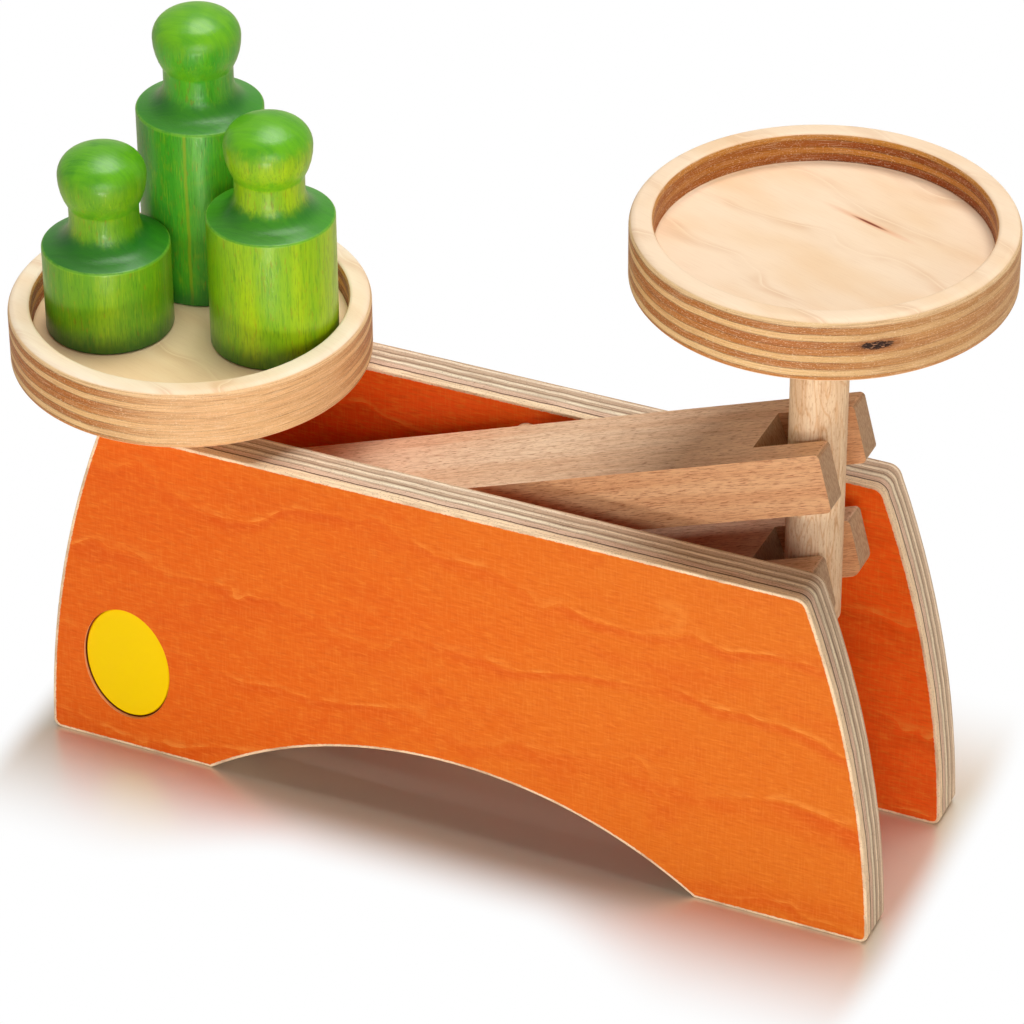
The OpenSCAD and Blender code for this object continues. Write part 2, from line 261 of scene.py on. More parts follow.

# %% [markdown]
# Every finished piece goes through the same last step. It rides on the body that its node
# belongs to, and it hides that node. Its object stays at the origin, and its place is in its
# mesh, so a pattern that is read from object coordinates stays in the wood when the piece moves.

# %% Hand a finished mesh over to the frame
def volume_of(mesh):
    """Signed volume of a closed mesh in cubic millimetres. It is negative inside out."""
    solid = bmesh.new()
    solid.from_mesh(mesh)
    volume = solid.calc_volume(signed=True)
    solid.free()
    return volume / MM ** 3


def hand_over(node, name, mesh, material):
    """Makes a piece of a mesh, in place of the frame's node."""
    mesh.name = name
    mesh.materials.clear()
    mesh.materials.append(material)
    piece = bpy.data.objects.new(name, mesh)
    scene.collection.objects.link(piece)
    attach(piece, body_of[node])
    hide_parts(node)
    low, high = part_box(node)
    apart = max(
        max(abs(min(v.co[i] for v in mesh.vertices) - low[i]),
            abs(max(v.co[i] for v in mesh.vertices) - high[i]))
        for i in range(3)
    )
    print(f"{name} in {material.name}: {len(mesh.polygons)} faces, {volume_of(mesh):.0f} mm3,",
          f"box off by {apart / MM:.2f} mm")


def baked(worker):
    """The worker object's mesh with its modifiers applied. The worker is removed."""
    graph = bpy.context.evaluated_depsgraph_get()
    mesh = bpy.data.meshes.new_from_object(worker.evaluated_get(graph))
    bpy.data.objects.remove(worker)
    return mesh


# %% [markdown]
# Sawn pieces, such as panels, beams and columns, come out of the machine with sharp edges and
# are then sanded by hand. A copy of the frame's node gives the sawn shape. Its triangles are
# merged into clean faces, each sharp edge is given a bevel weight, and the Bevel modifier rounds
# it by that much. Weighted normals keep the large faces flat, so the light breaks only on the
# eased edge. This is quicker than modelling the outline again, and it can't drift from the frame.
# On the stained panels, an inset along the outline marks how far in the sandpaper reached. The
# mark is an attribute of the points, bare, which the material reads later.

# %% Sand the edges of a sawn piece
FLAT_ANGLE = math.radians(0.4)
SHARP_ANGLE = math.radians(35)
SAME_POINT = 0.001 * MM
FACING_Y = 0.999
BROAD_AREA = 100 * MM ** 2
EASE_SEGMENTS = 4


def sanded(node, ease, soften=None, border=0.0, wear=None):
    """Mesh of a node with its sharp edges rounded by ease metres, times the share that
    soften(edge) gives. With a border, the bare attribute is wear(place) at the outline of the
    broad faces and falls to 0 that far inside."""
    solid = bmesh.new()
    solid.from_mesh(frame["nodes"][node].data)
    bmesh.ops.remove_doubles(solid, verts=solid.verts, dist=SAME_POINT)
    bmesh.ops.dissolve_limit(solid, angle_limit=FLAT_ANGLE, verts=solid.verts, edges=solid.edges)
    if border:
        bare = solid.verts.layers.float.new("bare")
        broad = [f for f in solid.faces if abs(f.normal.y) > FACING_Y and f.calc_area() > BROAD_AREA]
        bmesh.ops.inset_region(solid, faces=broad, thickness=border, use_even_offset=True)
        inner = {v for f in broad for v in f.verts}
        for vertex in solid.verts:
            vertex[bare] = 0.0 if vertex in inner else wear(vertex.co)
    weight = solid.edges.layers.float.new("bevel_weight_edge")
    for edge in solid.edges:
        if edge.calc_face_angle(0.0) > SHARP_ANGLE:
            edge[weight] = soften(edge) if soften else 1.0
    mesh = bpy.data.meshes.new("sawn")
    solid.to_mesh(mesh)
    solid.free()
    if "custom_normal" in mesh.attributes:
        mesh.attributes.remove(mesh.attributes["custom_normal"])
    mesh.shade_smooth()
    worker = bpy.data.objects.new("worker", mesh)
    scene.collection.objects.link(worker)
    bevel = worker.modifiers.new("eased edges", "BEVEL")
    bevel.limit_method = "WEIGHT"
    bevel.width = ease
    bevel.segments = EASE_SEGMENTS
    bevel.use_clamp_overlap = True
    normals = worker.modifiers.new("flat faces", "WEIGHTED_NORMAL")
    normals.keep_sharp = True
    return baked(worker)


# %% [markdown]
# Turned pieces are all one rule: a profile goes once round an axis. So one Geometry Nodes tree
# makes all of them, from the pans to the pins. The worker object holds the profile as a chain of
# points, with the radius along X and the height along Z. The tree lays out a grid, one column of
# points for each step round the axis, moves every point to its place on the profile, and turns
# it by its column's angle. Merging closes the seam and the poles.

# %% The lathe, as a Geometry Nodes tree
MERGE_DISTANCE = 0.0005 * MM


def lathe_tree():
    """Node tree that turns a profile once round the Z axis."""
    lathe = bpy.data.node_groups.new("lathe", "GeometryNodeTree")
    face = lathe.interface
    face.new_socket("Profile", in_out="INPUT", socket_type="NodeSocketGeometry")
    steps = face.new_socket("Steps", in_out="INPUT", socket_type="NodeSocketInt")
    steps.default_value = 96
    steps.min_value = 12
    crisp = face.new_socket("Crisp angle", in_out="INPUT", socket_type="NodeSocketFloat")
    crisp.default_value = SHARP_ANGLE
    face.new_socket("Finish", in_out="INPUT", socket_type="NodeSocketMaterial")
    face.new_socket("Turned", in_out="OUTPUT", socket_type="NodeSocketGeometry")
    given = add(lathe, "NodeGroupInput").outputs

    # A flat grid with a row for each point of the profile and a column for each step
    size = add(lathe, "GeometryNodeAttributeDomainSize", {"Geometry": given["Profile"]})
    count = size.outputs["Point Count"]
    columns = add(lathe, "ShaderNodeMath", [given["Steps"], 1.0], operation="ADD")
    grid = add(lathe, "GeometryNodeMeshGrid",
               {"Size X": 1.0, "Size Y": 1.0, "Vertices X": columns, "Vertices Y": count})

    # The column and the row of a point come from its index
    index = add(lathe, "GeometryNodeInputIndex")
    share = add(lathe, "ShaderNodeMath", [index, count], operation="DIVIDE")
    column = add(lathe, "ShaderNodeMath", [share], operation="FLOOR")
    row = add(lathe, "ShaderNodeMath", [index, count], operation="MODULO")
    turn = add(lathe, "ShaderNodeMath", [2 * math.pi, given["Steps"]], operation="DIVIDE")
    angle = add(lathe, "ShaderNodeMath", [column, turn], operation="MULTIPLY")
    place = add(lathe, "GeometryNodeInputPosition")
    point = add(lathe, "GeometryNodeSampleIndex",
                {"Geometry": given["Profile"], "Value": place, "Index": row}, data_type="FLOAT_VECTOR")
    turned = add(lathe, "ShaderNodeVectorRotate", {"Vector": point, "Angle": angle}, rotation_type="Z_AXIS")
    shaped = add(lathe, "GeometryNodeSetPosition", {"Geometry": grid.outputs["Mesh"], "Position": turned})
    closed = add(lathe, "GeometryNodeMergeByDistance", {"Geometry": shaped, "Distance": MERGE_DISTANCE})

    # Smooth all over, but crisp at the edges that bend by more than the angle
    smooth = add(lathe, "GeometryNodeSetShadeSmooth", {"Geometry": closed, "Shade Smooth": True})
    bend = add(lathe, "GeometryNodeInputMeshEdgeAngle").outputs["Unsigned Angle"]
    sharp = add(lathe, "FunctionNodeCompare", [bend, given["Crisp angle"]],
                data_type="FLOAT", operation="GREATER_THAN")
    creased = add(lathe, "GeometryNodeSetShadeSmooth",
                  {"Geometry": smooth, "Selection": sharp, "Shade Smooth": False}, domain="EDGE")
    real = add(lathe, "GeometryNodeRealizeInstances", {"Geometry": creased})
    finish = add(lathe, "GeometryNodeSetMaterial", {"Geometry": real, "Material": given["Finish"]})
    add(lathe, "NodeGroupOutput", {"Turned": finish})
    return lathe


LATHE = lathe_tree()
SOCKETS = {item.name: item.identifier for item in LATHE.interface.items_tree if item.in_out == "INPUT"}
print("lathe inputs:", ", ".join(SOCKETS))

# %% [markdown]
# A profile is written the way a turner would mark it: corners with a radius, a height and how
# far each corner is rounded, in millimetres. The arcs are worked out from that, finely enough
# that no facet shows.

# %% Profiles for the lathe
ARC_STEP = math.radians(9)


def arc(middle, radius, start, end):
    """Points along an arc, both ends included."""
    steps = max(2, math.ceil(abs(end - start) / ARC_STEP))
    angles = [start + (end - start) * i / steps for i in range(steps + 1)]
    return [(middle[0] + radius * math.cos(a), middle[1] + radius * math.sin(a)) for a in angles]


def profile(corners):
    """Chain of points through corners (radius, height, rounding), each rounded by its arc."""
    points = []
    for i, (x, z, rounding) in enumerate(corners):
        if not rounding:
            points.append((x, z))
            continue
        tip = Vector((x, z))
        before = (Vector(corners[i - 1][:2]) - tip).normalized()
        after = (Vector(corners[i + 1][:2]) - tip).normalized()
        half = before.angle(after) / 2
        reach = rounding / math.tan(half)
        middle = tip + (before + after).normalized() * rounding / math.sin(half)
        first = tip + before * reach - middle
        last = tip + after * reach - middle
        start = math.atan2(first.y, first.x)
        sweep = first.angle_signed(last)
        points += arc(middle, rounding, start, start - sweep)
    return points


quarter = profile([(0, 0, 0), (10, 0, 2), (10, 10, 0)])
print("a rounded corner takes", len(quarter) - 2, "points")

# %% [markdown]
# To turn a piece, its profile becomes the worker's mesh and the lathe its modifier. The inputs
# are set by their identifiers, and the result is baked to a plain mesh. Rods, axles and the badge
# lie along Y, so their mesh is laid down before it goes to its place.

# %% Turn a piece
def turned(points, steps, place, finish, axis="Z", stretch=None):
    """Mesh of a profile in mm that goes round the axis, moved to its place in metres."""
    mesh = bpy.data.meshes.new("profile")
    chain = [(i, i + 1) for i in range(len(points) - 1)]
    mesh.from_pydata([(x * MM, 0.0, z * MM) for x, z in points], chain, [])
    worker = bpy.data.objects.new("worker", mesh)
    scene.collection.objects.link(worker)
    lathe = worker.modifiers.new("lathe", "NODES")
    lathe.node_group = LATHE
    lathe[SOCKETS["Steps"]] = steps
    lathe[SOCKETS["Finish"]] = finish
    result = baked(worker)
    lean = Matrix.Rotation(-math.pi / 2, 4, "X") if axis == "Y" else Matrix.Identity(4)
    if stretch:
        lean = lean @ Matrix.Diagonal((*stretch, 1.0))
    result.transform(Matrix.Translation(place) @ lean)
    if volume_of(result) < 0:
        result.flip_normals()
    return result


def standing(node):
    """The middle of a piece's underside."""
    low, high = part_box(node)
    return Vector(((low.x + high.x) / 2, (low.y + high.y) / 2, low.z))


def lying(node, width_axis=0):
    """Length and radius in mm of a round piece along Y, and the middle of its front end."""
    low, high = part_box(node)
    length = (high.y - low.y) / MM
    radius = (high[width_axis] - low[width_axis]) / MM / 2
    return length, radius, Vector(((low.x + high.x) / 2, low.y, (low.z + high.z) / 2))


# %% [markdown]
# The wood materials share a few steps. Each pattern is drawn in millimetres in the piece's own
# frame, so a Mapping node first moves the origin to the piece's middle and turns the grain into
# line with it. Grain is noise that is stretched along the fibres. A glaze lays one colour over
# another where a pattern shows, as thin coats of stain build up on real wood.

# %% Shared steps of the wood materials
def own_millimetres(tree, middle, turn=(0.0, 0.0, 0.0)):
    """Object coordinates in millimetres from the piece's middle, in its own turned frame, and
    the surface's direction."""
    here = add(tree, "ShaderNodeTexCoord").outputs
    own = add(tree, "ShaderNodeMapping", {
        "Vector": here["Object"], "Location": middle, "Rotation": turn, "Scale": (MM, MM, MM),
    }, vector_type="TEXTURE")
    return own, here["Normal"]


def grain(tree, place, lengths, detail=3.0, warp=0.0, roughness=0.55):
    """Noise whose features are about as long as lengths in mm along each axis, from 0 to 1."""
    squeezed = add(tree, "ShaderNodeVectorMath", [place, tuple(1.0 / l for l in lengths)],
                   operation="MULTIPLY")
    return add(tree, "ShaderNodeTexNoise", {
        "Vector": squeezed, "Scale": 1.0, "Detail": detail, "Roughness": roughness, "Distortion": warp,
    })


def flecked(tree, place, lengths, low, high, detail=3.0, warp=0.0, least=0.0):
    """Flecks of that grain: they begin where it is low and are full where it is high."""
    noise = grain(tree, place, lengths, detail, warp)
    return add(tree, "ShaderNodeMapRange", [noise, low, high, least], **SOFT)


def glaze(tree, colour, over, where, share=1.0, blend="MIX"):
    """Lays the colour over onto another, where a pattern shows and as strongly as the share."""
    amount = add(tree, "ShaderNodeMath", [where, share], operation="MULTIPLY")
    return add(tree, "ShaderNodeMix", {0: amount, 6: colour, 7: over}, data_type="RGBA", blend_type=blend)


def facing(tree, normal, axis):
    """How squarely the surface faces along an axis, either way, from 0 to 1."""
    part = add(tree, "ShaderNodeSeparateXYZ", [normal]).outputs[axis]
    return add(tree, "ShaderNodeMath", [part], operation="ABSOLUTE")


def spot(tree, place, middle, halves, turn=0.0):
    """Distance from a spot's middle, counted in the spot's own half widths."""
    apart = add(tree, "ShaderNodeVectorMath", [place, middle], operation="SUBTRACT")
    apart = add(tree, "ShaderNodeVectorRotate", {"Vector": apart, "Angle": turn}, rotation_type="Z_AXIS")
    apart = add(tree, "ShaderNodeVectorMath", [apart, halves], operation="DIVIDE")
    return add(tree, "ShaderNodeVectorMath", [apart], operation="LENGTH")


# %% [markdown]
# Most marks in wood, such as pores, rays and fibres, differ only in their size and colour. So
# they are written as rows: how long a mark is in mm along each axis, between which levels of
# the noise it fades in, how strong it is and its colour. Real pores and rays are a few
# hundredths of a millimetre wide, too fine for the picture, so they are drawn a few times wider.

# %% Marks in the wood, one row each
Mark = namedtuple("Mark", "size low high share colour blend detail warp", defaults=("MIX", 3.0, 0.0))


def draw_marks(tree, place, colour, marks):
    """Lays each mark over the colour in turn. Gives the colour and each mark's pattern."""
    patterns = {}
    for name, mark in marks.items():
        patterns[name] = flecked(tree, place, mark.size, mark.low, mark.high, mark.detail, mark.warp)
        colour = glaze(tree, colour, mark.colour, patterns[name], mark.share, mark.blend)
    return colour, patterns


# %% [markdown]
# Every wood here ends under a thin clear lacquer. It has a soft gloss that follows the dents of
# the grain, because a thin coat sinks into the pores and doesn't fill them. A Bump node draws
# the dents, and its distance is their real depth.

# %% Lacquer over the grain
def lacquer(tree, colour, dents, strength, depth, roughness, ior, gloss):
    """Ends a wood material: its colour, the dents of its grain in mm, and the gloss over it."""
    relief = add(tree, "ShaderNodeMath", [dents, -1.0], operation="MULTIPLY")
    bump = add(tree, "ShaderNodeBump", {"Strength": strength, "Distance": depth * MM, "Height": relief})
    shader = add(tree, "ShaderNodeBsdfPrincipled", {
        "Base Color": colour, "Normal": bump, "Roughness": roughness, "IOR": ior,
        "Specular IOR Level": gloss,
    })
    add(tree, "ShaderNodeOutputMaterial", {"Surface": shader})


# %% [markdown]
# Birch plywood shows its build on every cut edge. Layers that run along the edge are bright and
# silky, layers that end there are darker and dotted with pores, and a thin brown glue line lies
# between some of them. A colour ramp over the depth draws the layers, with the depths as shares
# of the board's thickness. A little noise bends their edges, as real veneers are never straight.

# %% Layers of plywood
PANEL_LAYERS = [
    (0.17, "#ffe2bc"), (0.195, "#e8c8a6"), (0.225, "#5a3a2a"), (0.36, "#e6c4a9"), (0.385, "#c4a488"),
    (0.425, "#e0cab0"), (0.485, "#fbeccf"), (0.515, "#dcc6aa"), (0.56, "#ab9076"), (0.635, "#d2b69a"),
    (0.71, "#f9e5c8"), (0.765, "#b99e83"), (0.87, "#d6b99d"), (0.94, "#f9e4c8"), (1.0, "#d6b695"),
]


def layer_ramp(tree, share, layers, soft=0.006):
    """Colour ramp with a flat stretch for each layer, from (end of layer, colour) pairs."""
    ramp = add(tree, "ShaderNodeValToRGB", [share])
    stops = ramp.color_ramp.elements
    start = 0.0
    marks = []
    for end, colour in layers:
        marks += [(start + soft, colour), (end - soft, colour)]
        start = end
    while len(stops) > 1:
        stops.remove(stops[-1])
    stops[0].position, stops[0].color = marks[0][0], linear(marks[0][1])
    for position, colour in marks[1:]:
        stops.new(position).color = linear(colour)
    return ramp


def layer_depth(tree, moved, depth, thickness, lengths, sway, detail):
    """Depth in a board as a share of its thickness, with noise that sways by sway in all."""
    wander = grain(tree, moved, lengths, detail)
    wander = add(tree, "ShaderNodeMath", [wander, sway, -sway / 2], operation="MULTIPLY_ADD")
    return add(tree, "ShaderNodeMath", [depth, 1.0 / thickness, wander], operation="MULTIPLY_ADD")


print("bands in the panels' plywood:", len(PANEL_LAYERS))

# %% [markdown]
# The cut edge of the panels is that ramp under two kinds of marks. Fine streaks run along the
# edge, as the fibres and the sandpaper do, and pores dot it.

# %% Cut edges of the panels
EDGE_MARKS = {
    "streaks": Mark((11.0, 0.30, 11.0), 0.38, 0.72, 0.5, "#9a7860", "MULTIPLY"),
    "pores": Mark((0.6, 0.4, 0.6), 0.55, 0.75, 0.55, "#8a6a52", "MULTIPLY", 2.0),
}


def panel_edges(tree, moved, depth, thickness):
    """Colour of a panel's edges, read along the board's thickness, and its marks."""
    share = layer_depth(tree, moved, depth, thickness, (9.0, 400.0, 9.0), 0.07, 3.0)
    return draw_marks(tree, moved, layer_ramp(tree, share, PANEL_LAYERS), EDGE_MARKS)


# %% [markdown]
# Peeled veneer shows a figure like the contours of a map, because the knife cuts the year rings
# at a slant. So the height across the grain is bent by a slow noise and cut into equal steps.
# The strip just below each step is darker and the thin line just above it is paler.

# %% Figure of a peeled veneer
def figure_steps(tree, place, across, spacing, lengths, sway):
    """Contours about every spacing mm across the grain: the strip just below each of them
    and the thin one just above."""
    wave = grain(tree, place, lengths, 2.0, warp=0.5, roughness=0.42)
    wave = add(tree, "ShaderNodeMath", [wave, sway], operation="MULTIPLY")
    height = add(tree, "ShaderNodeMath", [across, 1.0 / spacing, wave], operation="MULTIPLY_ADD")
    step = add(tree, "ShaderNodeMath", [height], operation="FRACT")
    rise = add(tree, "ShaderNodeMapRange", [step, 0.74, 0.94], **SOFT)
    fall = add(tree, "ShaderNodeMapRange", [step, 1.0, 0.95], **SOFT)
    below = add(tree, "ShaderNodeMath", [rise, fall], operation="MULTIPLY")
    return below, add(tree, "ShaderNodeMapRange", [step, 0.10, 0.0], **SOFT)


# %% [markdown]
# The broad faces of the panels are rotary cut birch with an orange water stain under satin
# lacquer. The stain drifts a little in tone from end to end and is redder in places. It lets the
# figure through, with silky fibres along the grain and the even finer marks of the sanding belt
# across it.

# %% Stained faces of the panels
DRIFT_LENGTH = 290.0
FIGURE_SPACING = 33.0
FACE_MARKS = {
    "silk": Mark((6.0, 300.0, 0.8), 0.35, 0.75, 0.18, "#ff9238"),
    "fibres": Mark((5.5, 300.0, 0.75), 0.46, 0.72, 0.32, "#cf4a0c", detail=4.0),
    "flecks": Mark((4.5, 400.0, 0.9), 0.48, 0.74, 0.34, "#fc9a3c", detail=4.0, warp=0.2),
    "belt": Mark((0.55, 300.0, 7.0), 0.42, 0.75, 0.16, "#fba048", detail=2.0),
}


def stained_face(tree, moved, x, z, stain_left, stain_right):
    """Colour of a stained face and its marks."""
    drift = add(tree, "ShaderNodeMath", [x, 1.0 / DRIFT_LENGTH, 0.5], operation="MULTIPLY_ADD")
    drift = add(tree, "ShaderNodeMath", [drift, 0.4], operation="SUBTRACT")
    cloud = grain(tree, moved, (80.0, 300.0, 55.0), 2.0)
    drift = add(tree, "ShaderNodeMath", [cloud, 0.8, drift], operation="MULTIPLY_ADD")
    drift = add(tree, "ShaderNodeMapRange", [drift, 0.0, 1.0], **SOFT)
    orange = glaze(tree, stain_left, stain_right, drift)
    reddish = flecked(tree, moved, (60.0, 300.0, 15.0), 0.48, 0.70)
    orange = glaze(tree, orange, "#dc4a06", reddish, 0.34)

    below, above = figure_steps(tree, moved, z, FIGURE_SPACING, (46.0, 300.0, 38.0), 1.55)
    clear = flecked(tree, moved, (40.0, 300.0, 26.0), 0.35, 0.6, 1.0, least=0.25)
    below = add(tree, "ShaderNodeMath", [below, clear], operation="MULTIPLY")
    orange = glaze(tree, orange, "#da4604", below, 0.48)
    patchy = flecked(tree, moved, (7.0, 300.0, 3.5), 0.38, 0.62)
    patchy = add(tree, "ShaderNodeMath", [clear, patchy], operation="MULTIPLY")
    above = add(tree, "ShaderNodeMath", [above, patchy], operation="MULTIPLY")
    orange = glaze(tree, orange, "#ffa64a", above, 0.55)
    return draw_marks(tree, moved, orange, FACE_MARKS)


# %% [markdown]
# The maker eased the edges after staining, so a narrow band of bare wood runs round each face.
# The material finds it by the bare attribute that the sanding left on the mesh, and noise frays
# its border. The pocket of the badge keeps its stain. Its eased edge is a pale orange, and its
# wall, which faces neither forwards nor backwards, is dark brown: partly the stain it soaked up
# and partly painted shade of the narrow gap round the badge.

# %% Stained birch plywood
PALE_EDGE_DEPTH = (0.95, 1.15)


def stained_birch_plywood(name, board_front, thickness, stain_left, stain_right, offset):
    """Birch with a water stain under satin lacquer: strong colour, faint figure, soft sheen."""
    material, tree = new_material(name)
    place, normal = own_millimetres(tree, (0.0, board_front, 0.0))
    x, y, z = add(tree, "ShaderNodeSeparateXYZ", [place]).outputs
    moved = add(tree, "ShaderNodeVectorMath", [place, offset], operation="ADD")
    layers, edge_marks = panel_edges(tree, moved, y, thickness)
    orange, face_marks = stained_face(tree, moved, x, z, stain_left, stain_right)

    # Faces that look neither forwards nor backwards: pale orange at the eased edge, dark brown deeper in,
    # partly the stain soaked up and partly painted shade of the gap round the badge.
    across = facing(tree, normal, 1)
    sideways = add(tree, "ShaderNodeMapRange", [across, 0.9, 0.4], **SOFT)
    deep = add(tree, "ShaderNodeMapRange", [y, *PALE_EDGE_DEPTH], **SOFT)
    orange = glaze(tree, orange, glaze(tree, "#f6a878", "#6a2a10", deep), sideways)

    bare = add(tree, "ShaderNodeAttribute", attribute_name="bare").outputs["Fac"]
    fray = grain(tree, moved, (1.3, 1.3, 1.3), 2.0)
    border = add(tree, "ShaderNodeMath", [fray, 0.36, 0.3], operation="MULTIPLY_ADD")
    inside = add(tree, "ShaderNodeMath", [border, bare], operation="SUBTRACT")
    stained = add(tree, "ShaderNodeMapRange", [inside, -0.08, 0.08], **SOFT)
    dents = add(tree, "ShaderNodeMath", [face_marks["fibres"], edge_marks["pores"]], operation="ADD")
    lacquer(tree, glaze(tree, layers, orange, stained), dents,
            strength=0.12, depth=0.05, roughness=0.46, ior=1.45, gloss=0.16)
    return material


# %% [markdown]
# The side panels are cut from 15 mm board. Their bowed ends, round corners and arch are in the
# sawn shape already. The outer arris is eased by a full millimetre, while the pocket of the
# badge and the blind holes keep a crisper edge. The function below tells them apart by place.

# %% Easing of the panels' edges
PANEL_EASE = 0.95 * MM
BARE_BORDER = 1.9 * MM
POCKET_REACH = 23 * MM
POCKET_SHARE = 0.2
HOLE_SHARE = 0.3
POCKET_WEAR = 0.35
FEET_BELOW = 1 * MM
TOP_ABOVE = 120 * MM
ENDS_BEYOND = 115 * MM
ARCH_BELOW, ARCH_WITHIN = 28 * MM, 86 * MM
ROD_ABOVE, ROD_FROM_MIDDLE, ROD_REACH = 14 * MM, 80 * MM, 6.5 * MM


def centre(node):
    """The middle of a node's box."""
    low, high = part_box(node)
    return (low + high) / 2


badge_middle = centre("badge")


def in_pocket(place):
    """Whether a place belongs to the badge's pocket."""
    return (place - badge_middle).length < POCKET_REACH


def panel_softening(edge):
    """Share of the full easing: the outline takes all of it, pocket and holes less."""
    middle = (edge.verts[0].co + edge.verts[1].co) / 2
    if in_pocket(middle):
        return POCKET_SHARE
    outside = middle.z < FEET_BELOW or middle.z > TOP_ABOVE or abs(middle.x) > ENDS_BEYOND
    arch = middle.z < ARCH_BELOW and abs(middle.x) < ARCH_WITHIN
    rod_end = middle.z > ROD_ABOVE and abs(abs(middle.x) - ROD_FROM_MIDDLE) < ROD_REACH
    return 1.0 if outside or (arch and not rod_end) else HOLE_SHARE


def panel_wear(place):
    """How far the stain wore off at an edge: fully, but only a little at the badge's pocket."""
    return POCKET_WEAR if in_pocket(place) else 1.0


print("badge's middle in mm:", [round(v / MM, 1) for v in badge_middle])

# %% [markdown]
# Both panels share one material function. A row holds the stain at the left and at the right
# end, and the place of the board's pattern in the noise, because no two boards have the same
# figure. The back panel's stain colour is a little stronger and redder, as painted light: it
# stands in for the red light that bounces between the two panels.

# %% Side panels
PANELS = {
    "front_panel": ("#e8620e", "#e4731a", (0.0, 0.0, 0.0)),
    # The back panel's stronger, redder colour is painted light, for the red bounce between the panels.
    "back_panel": ("#fb5810", "#fc5e12", (400.0, 60.0, 0.0)),
}
for node, (stain_left, stain_right, offset) in PANELS.items():
    low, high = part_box(node)
    wood = stained_birch_plywood(
        f"stained_birch_plywood_{node}", low.y, (high.y - low.y) / MM, stain_left, stain_right, offset)
    hand_over(node, f"{node}_wood", sanded(node, PANEL_EASE, panel_softening, BARE_BORDER, panel_wear), wood)

# %% [markdown]
# Beech is recognised by its rays, short darker dashes that lie along the grain. They are broad
# on one pair of sides and hair fine on the other, so one noise with three different lengths
# draws both. On round rod, arches of the year rings show too. Where the fibres end, the wood
# soaks up more lacquer and turns greyish brown. The grain always runs along the own X axis here,
# and the turn brings that into line.

# %% Beech
def beech_marks(ray, ray_size, rays):
    """Fibres, rays and pores in the colour of the rays."""
    return {
        "fibres": Mark((7.0, 0.9, 0.6), 0.4, 0.72, 0.32, ray, "MULTIPLY"),
        "rays": Mark(ray_size, 0.56, 0.68, rays, ray, "MULTIPLY", 1.0),
        "pores": Mark((0.7, 0.13, 0.13), 0.6, 0.8, 0.45, ray, "MULTIPLY", 1.0),
    }


def beech(name, middle, turn, pale, warm, ray, end, ray_size, rays, arches=0.0, side="#ffffff"):
    """Planed or turned beech under satin lacquer: warm bands, dark dashes, a soft sheen."""
    material, tree = new_material(name)
    place, normal = own_millimetres(tree, middle, turn)
    colour = glaze(tree, pale, warm, flecked(tree, place, (110.0, 7.0, 5.0), 0.3, 0.7, 2.0))
    if arches:
        contour = grain(tree, place, (55.0, 9.0, 9.0), 1.5)
        contour = add(tree, "ShaderNodeMath", [contour, 14.0], operation="MULTIPLY")
        contour = add(tree, "ShaderNodeMath", [contour, 0.5], operation="PINGPONG")
        contour = add(tree, "ShaderNodeMapRange", [contour, 0.3, 0.5], **SOFT)
        colour = glaze(tree, colour, warm, contour, arches, "MULTIPLY")
    colour, marks = draw_marks(tree, place, colour, beech_marks(ray, ray_size, rays))
    # Painted shade: faces that look along Y are multiplied by the side colour, which darkens the beams'
    # front and back faces below their lit tops.
    sideways = add(tree, "ShaderNodeMapRange", [facing(tree, normal, 1), 0.5, 0.9], **SOFT)
    colour = glaze(tree, colour, side, sideways, 1.0, "MULTIPLY")

    fibre = Euler(turn).to_matrix() @ Vector((1.0, 0.0, 0.0))
    along = add(tree, "ShaderNodeVectorMath", [normal, fibre], operation="DOT_PRODUCT")
    along = add(tree, "ShaderNodeMath", [along], operation="ABSOLUTE")
    cut = flecked(tree, place, (4.0, 0.3, 1.6), 0.35, 0.7, 2.0)
    ends = glaze(tree, end, ray, cut, 0.5, "MULTIPLY")
    at_ends = add(tree, "ShaderNodeMapRange", [along, 0.55, 0.85], **SOFT)
    dents = add(tree, "ShaderNodeMath", [marks["rays"], marks["pores"]], operation="ADD")
    lacquer(tree, glaze(tree, colour, ends, at_ends), dents,
            strength=0.15, depth=0.05, roughness=0.52, ior=1.45, gloss=0.3)
    return material


# %% [markdown]
# The two beams are planed from beech and sawn at a slope at their ends. At rest both lean up to
# the right by the same angle, so their grain is turned by it too. Their arrises are broken with
# two strokes of sandpaper, less than a millimetre wide, and the edges of the forks even less.

# %% Beams
TILT = math.radians(20.2)
BEAM_EASE = 0.75 * MM
BORE_EDGE = 1.2 * MM
BORE_SHARE = 0.25
FORK_WITHIN = 19 * MM
FORK_SHARE = 0.5


def beam_softening(edge):
    """Share of the full easing: a quarter at the bores, half in the forks, all outside."""
    middle = (edge.verts[0].co + edge.verts[1].co) / 2
    if edge.calc_length() < BORE_EDGE:
        return BORE_SHARE
    return 1.0 if abs(middle.y) > FORK_WITHIN else FORK_SHARE


BEAMS = {
    "upper_beam": ("upper_axle", (0.0, 3.0, 0.0)),
    "lower_beam": ("lower_axle", (70.0, 3.0, 0.0)),
}
for node, (axle, offset) in BEAMS.items():
    # The side colour is painted shade on the beams' front and back faces.
    wood = beech(
        f"planed_beech_{node}", centre(axle) + Vector(offset) * MM, (0.0, -TILT, 0.0),
        pale="#f2cfac", warm="#e6ba94", ray="#a86a3e", end="#c4a280", side="#f1dcc6",
        ray_size=(2.9, 0.36, 0.2), rays=0.62,
    )
    hand_over(node, f"{node}_wood", sanded(node, BEAM_EASE, beam_softening), wood)

# %% [markdown]
# Columns, spacers and stop rods are cut from smooth round rod of a paler beech. The columns keep
# the bored holes of the frame, so they are sanded copies. The rods and the spacers are simple
# bars and rings, and the lathe makes them.

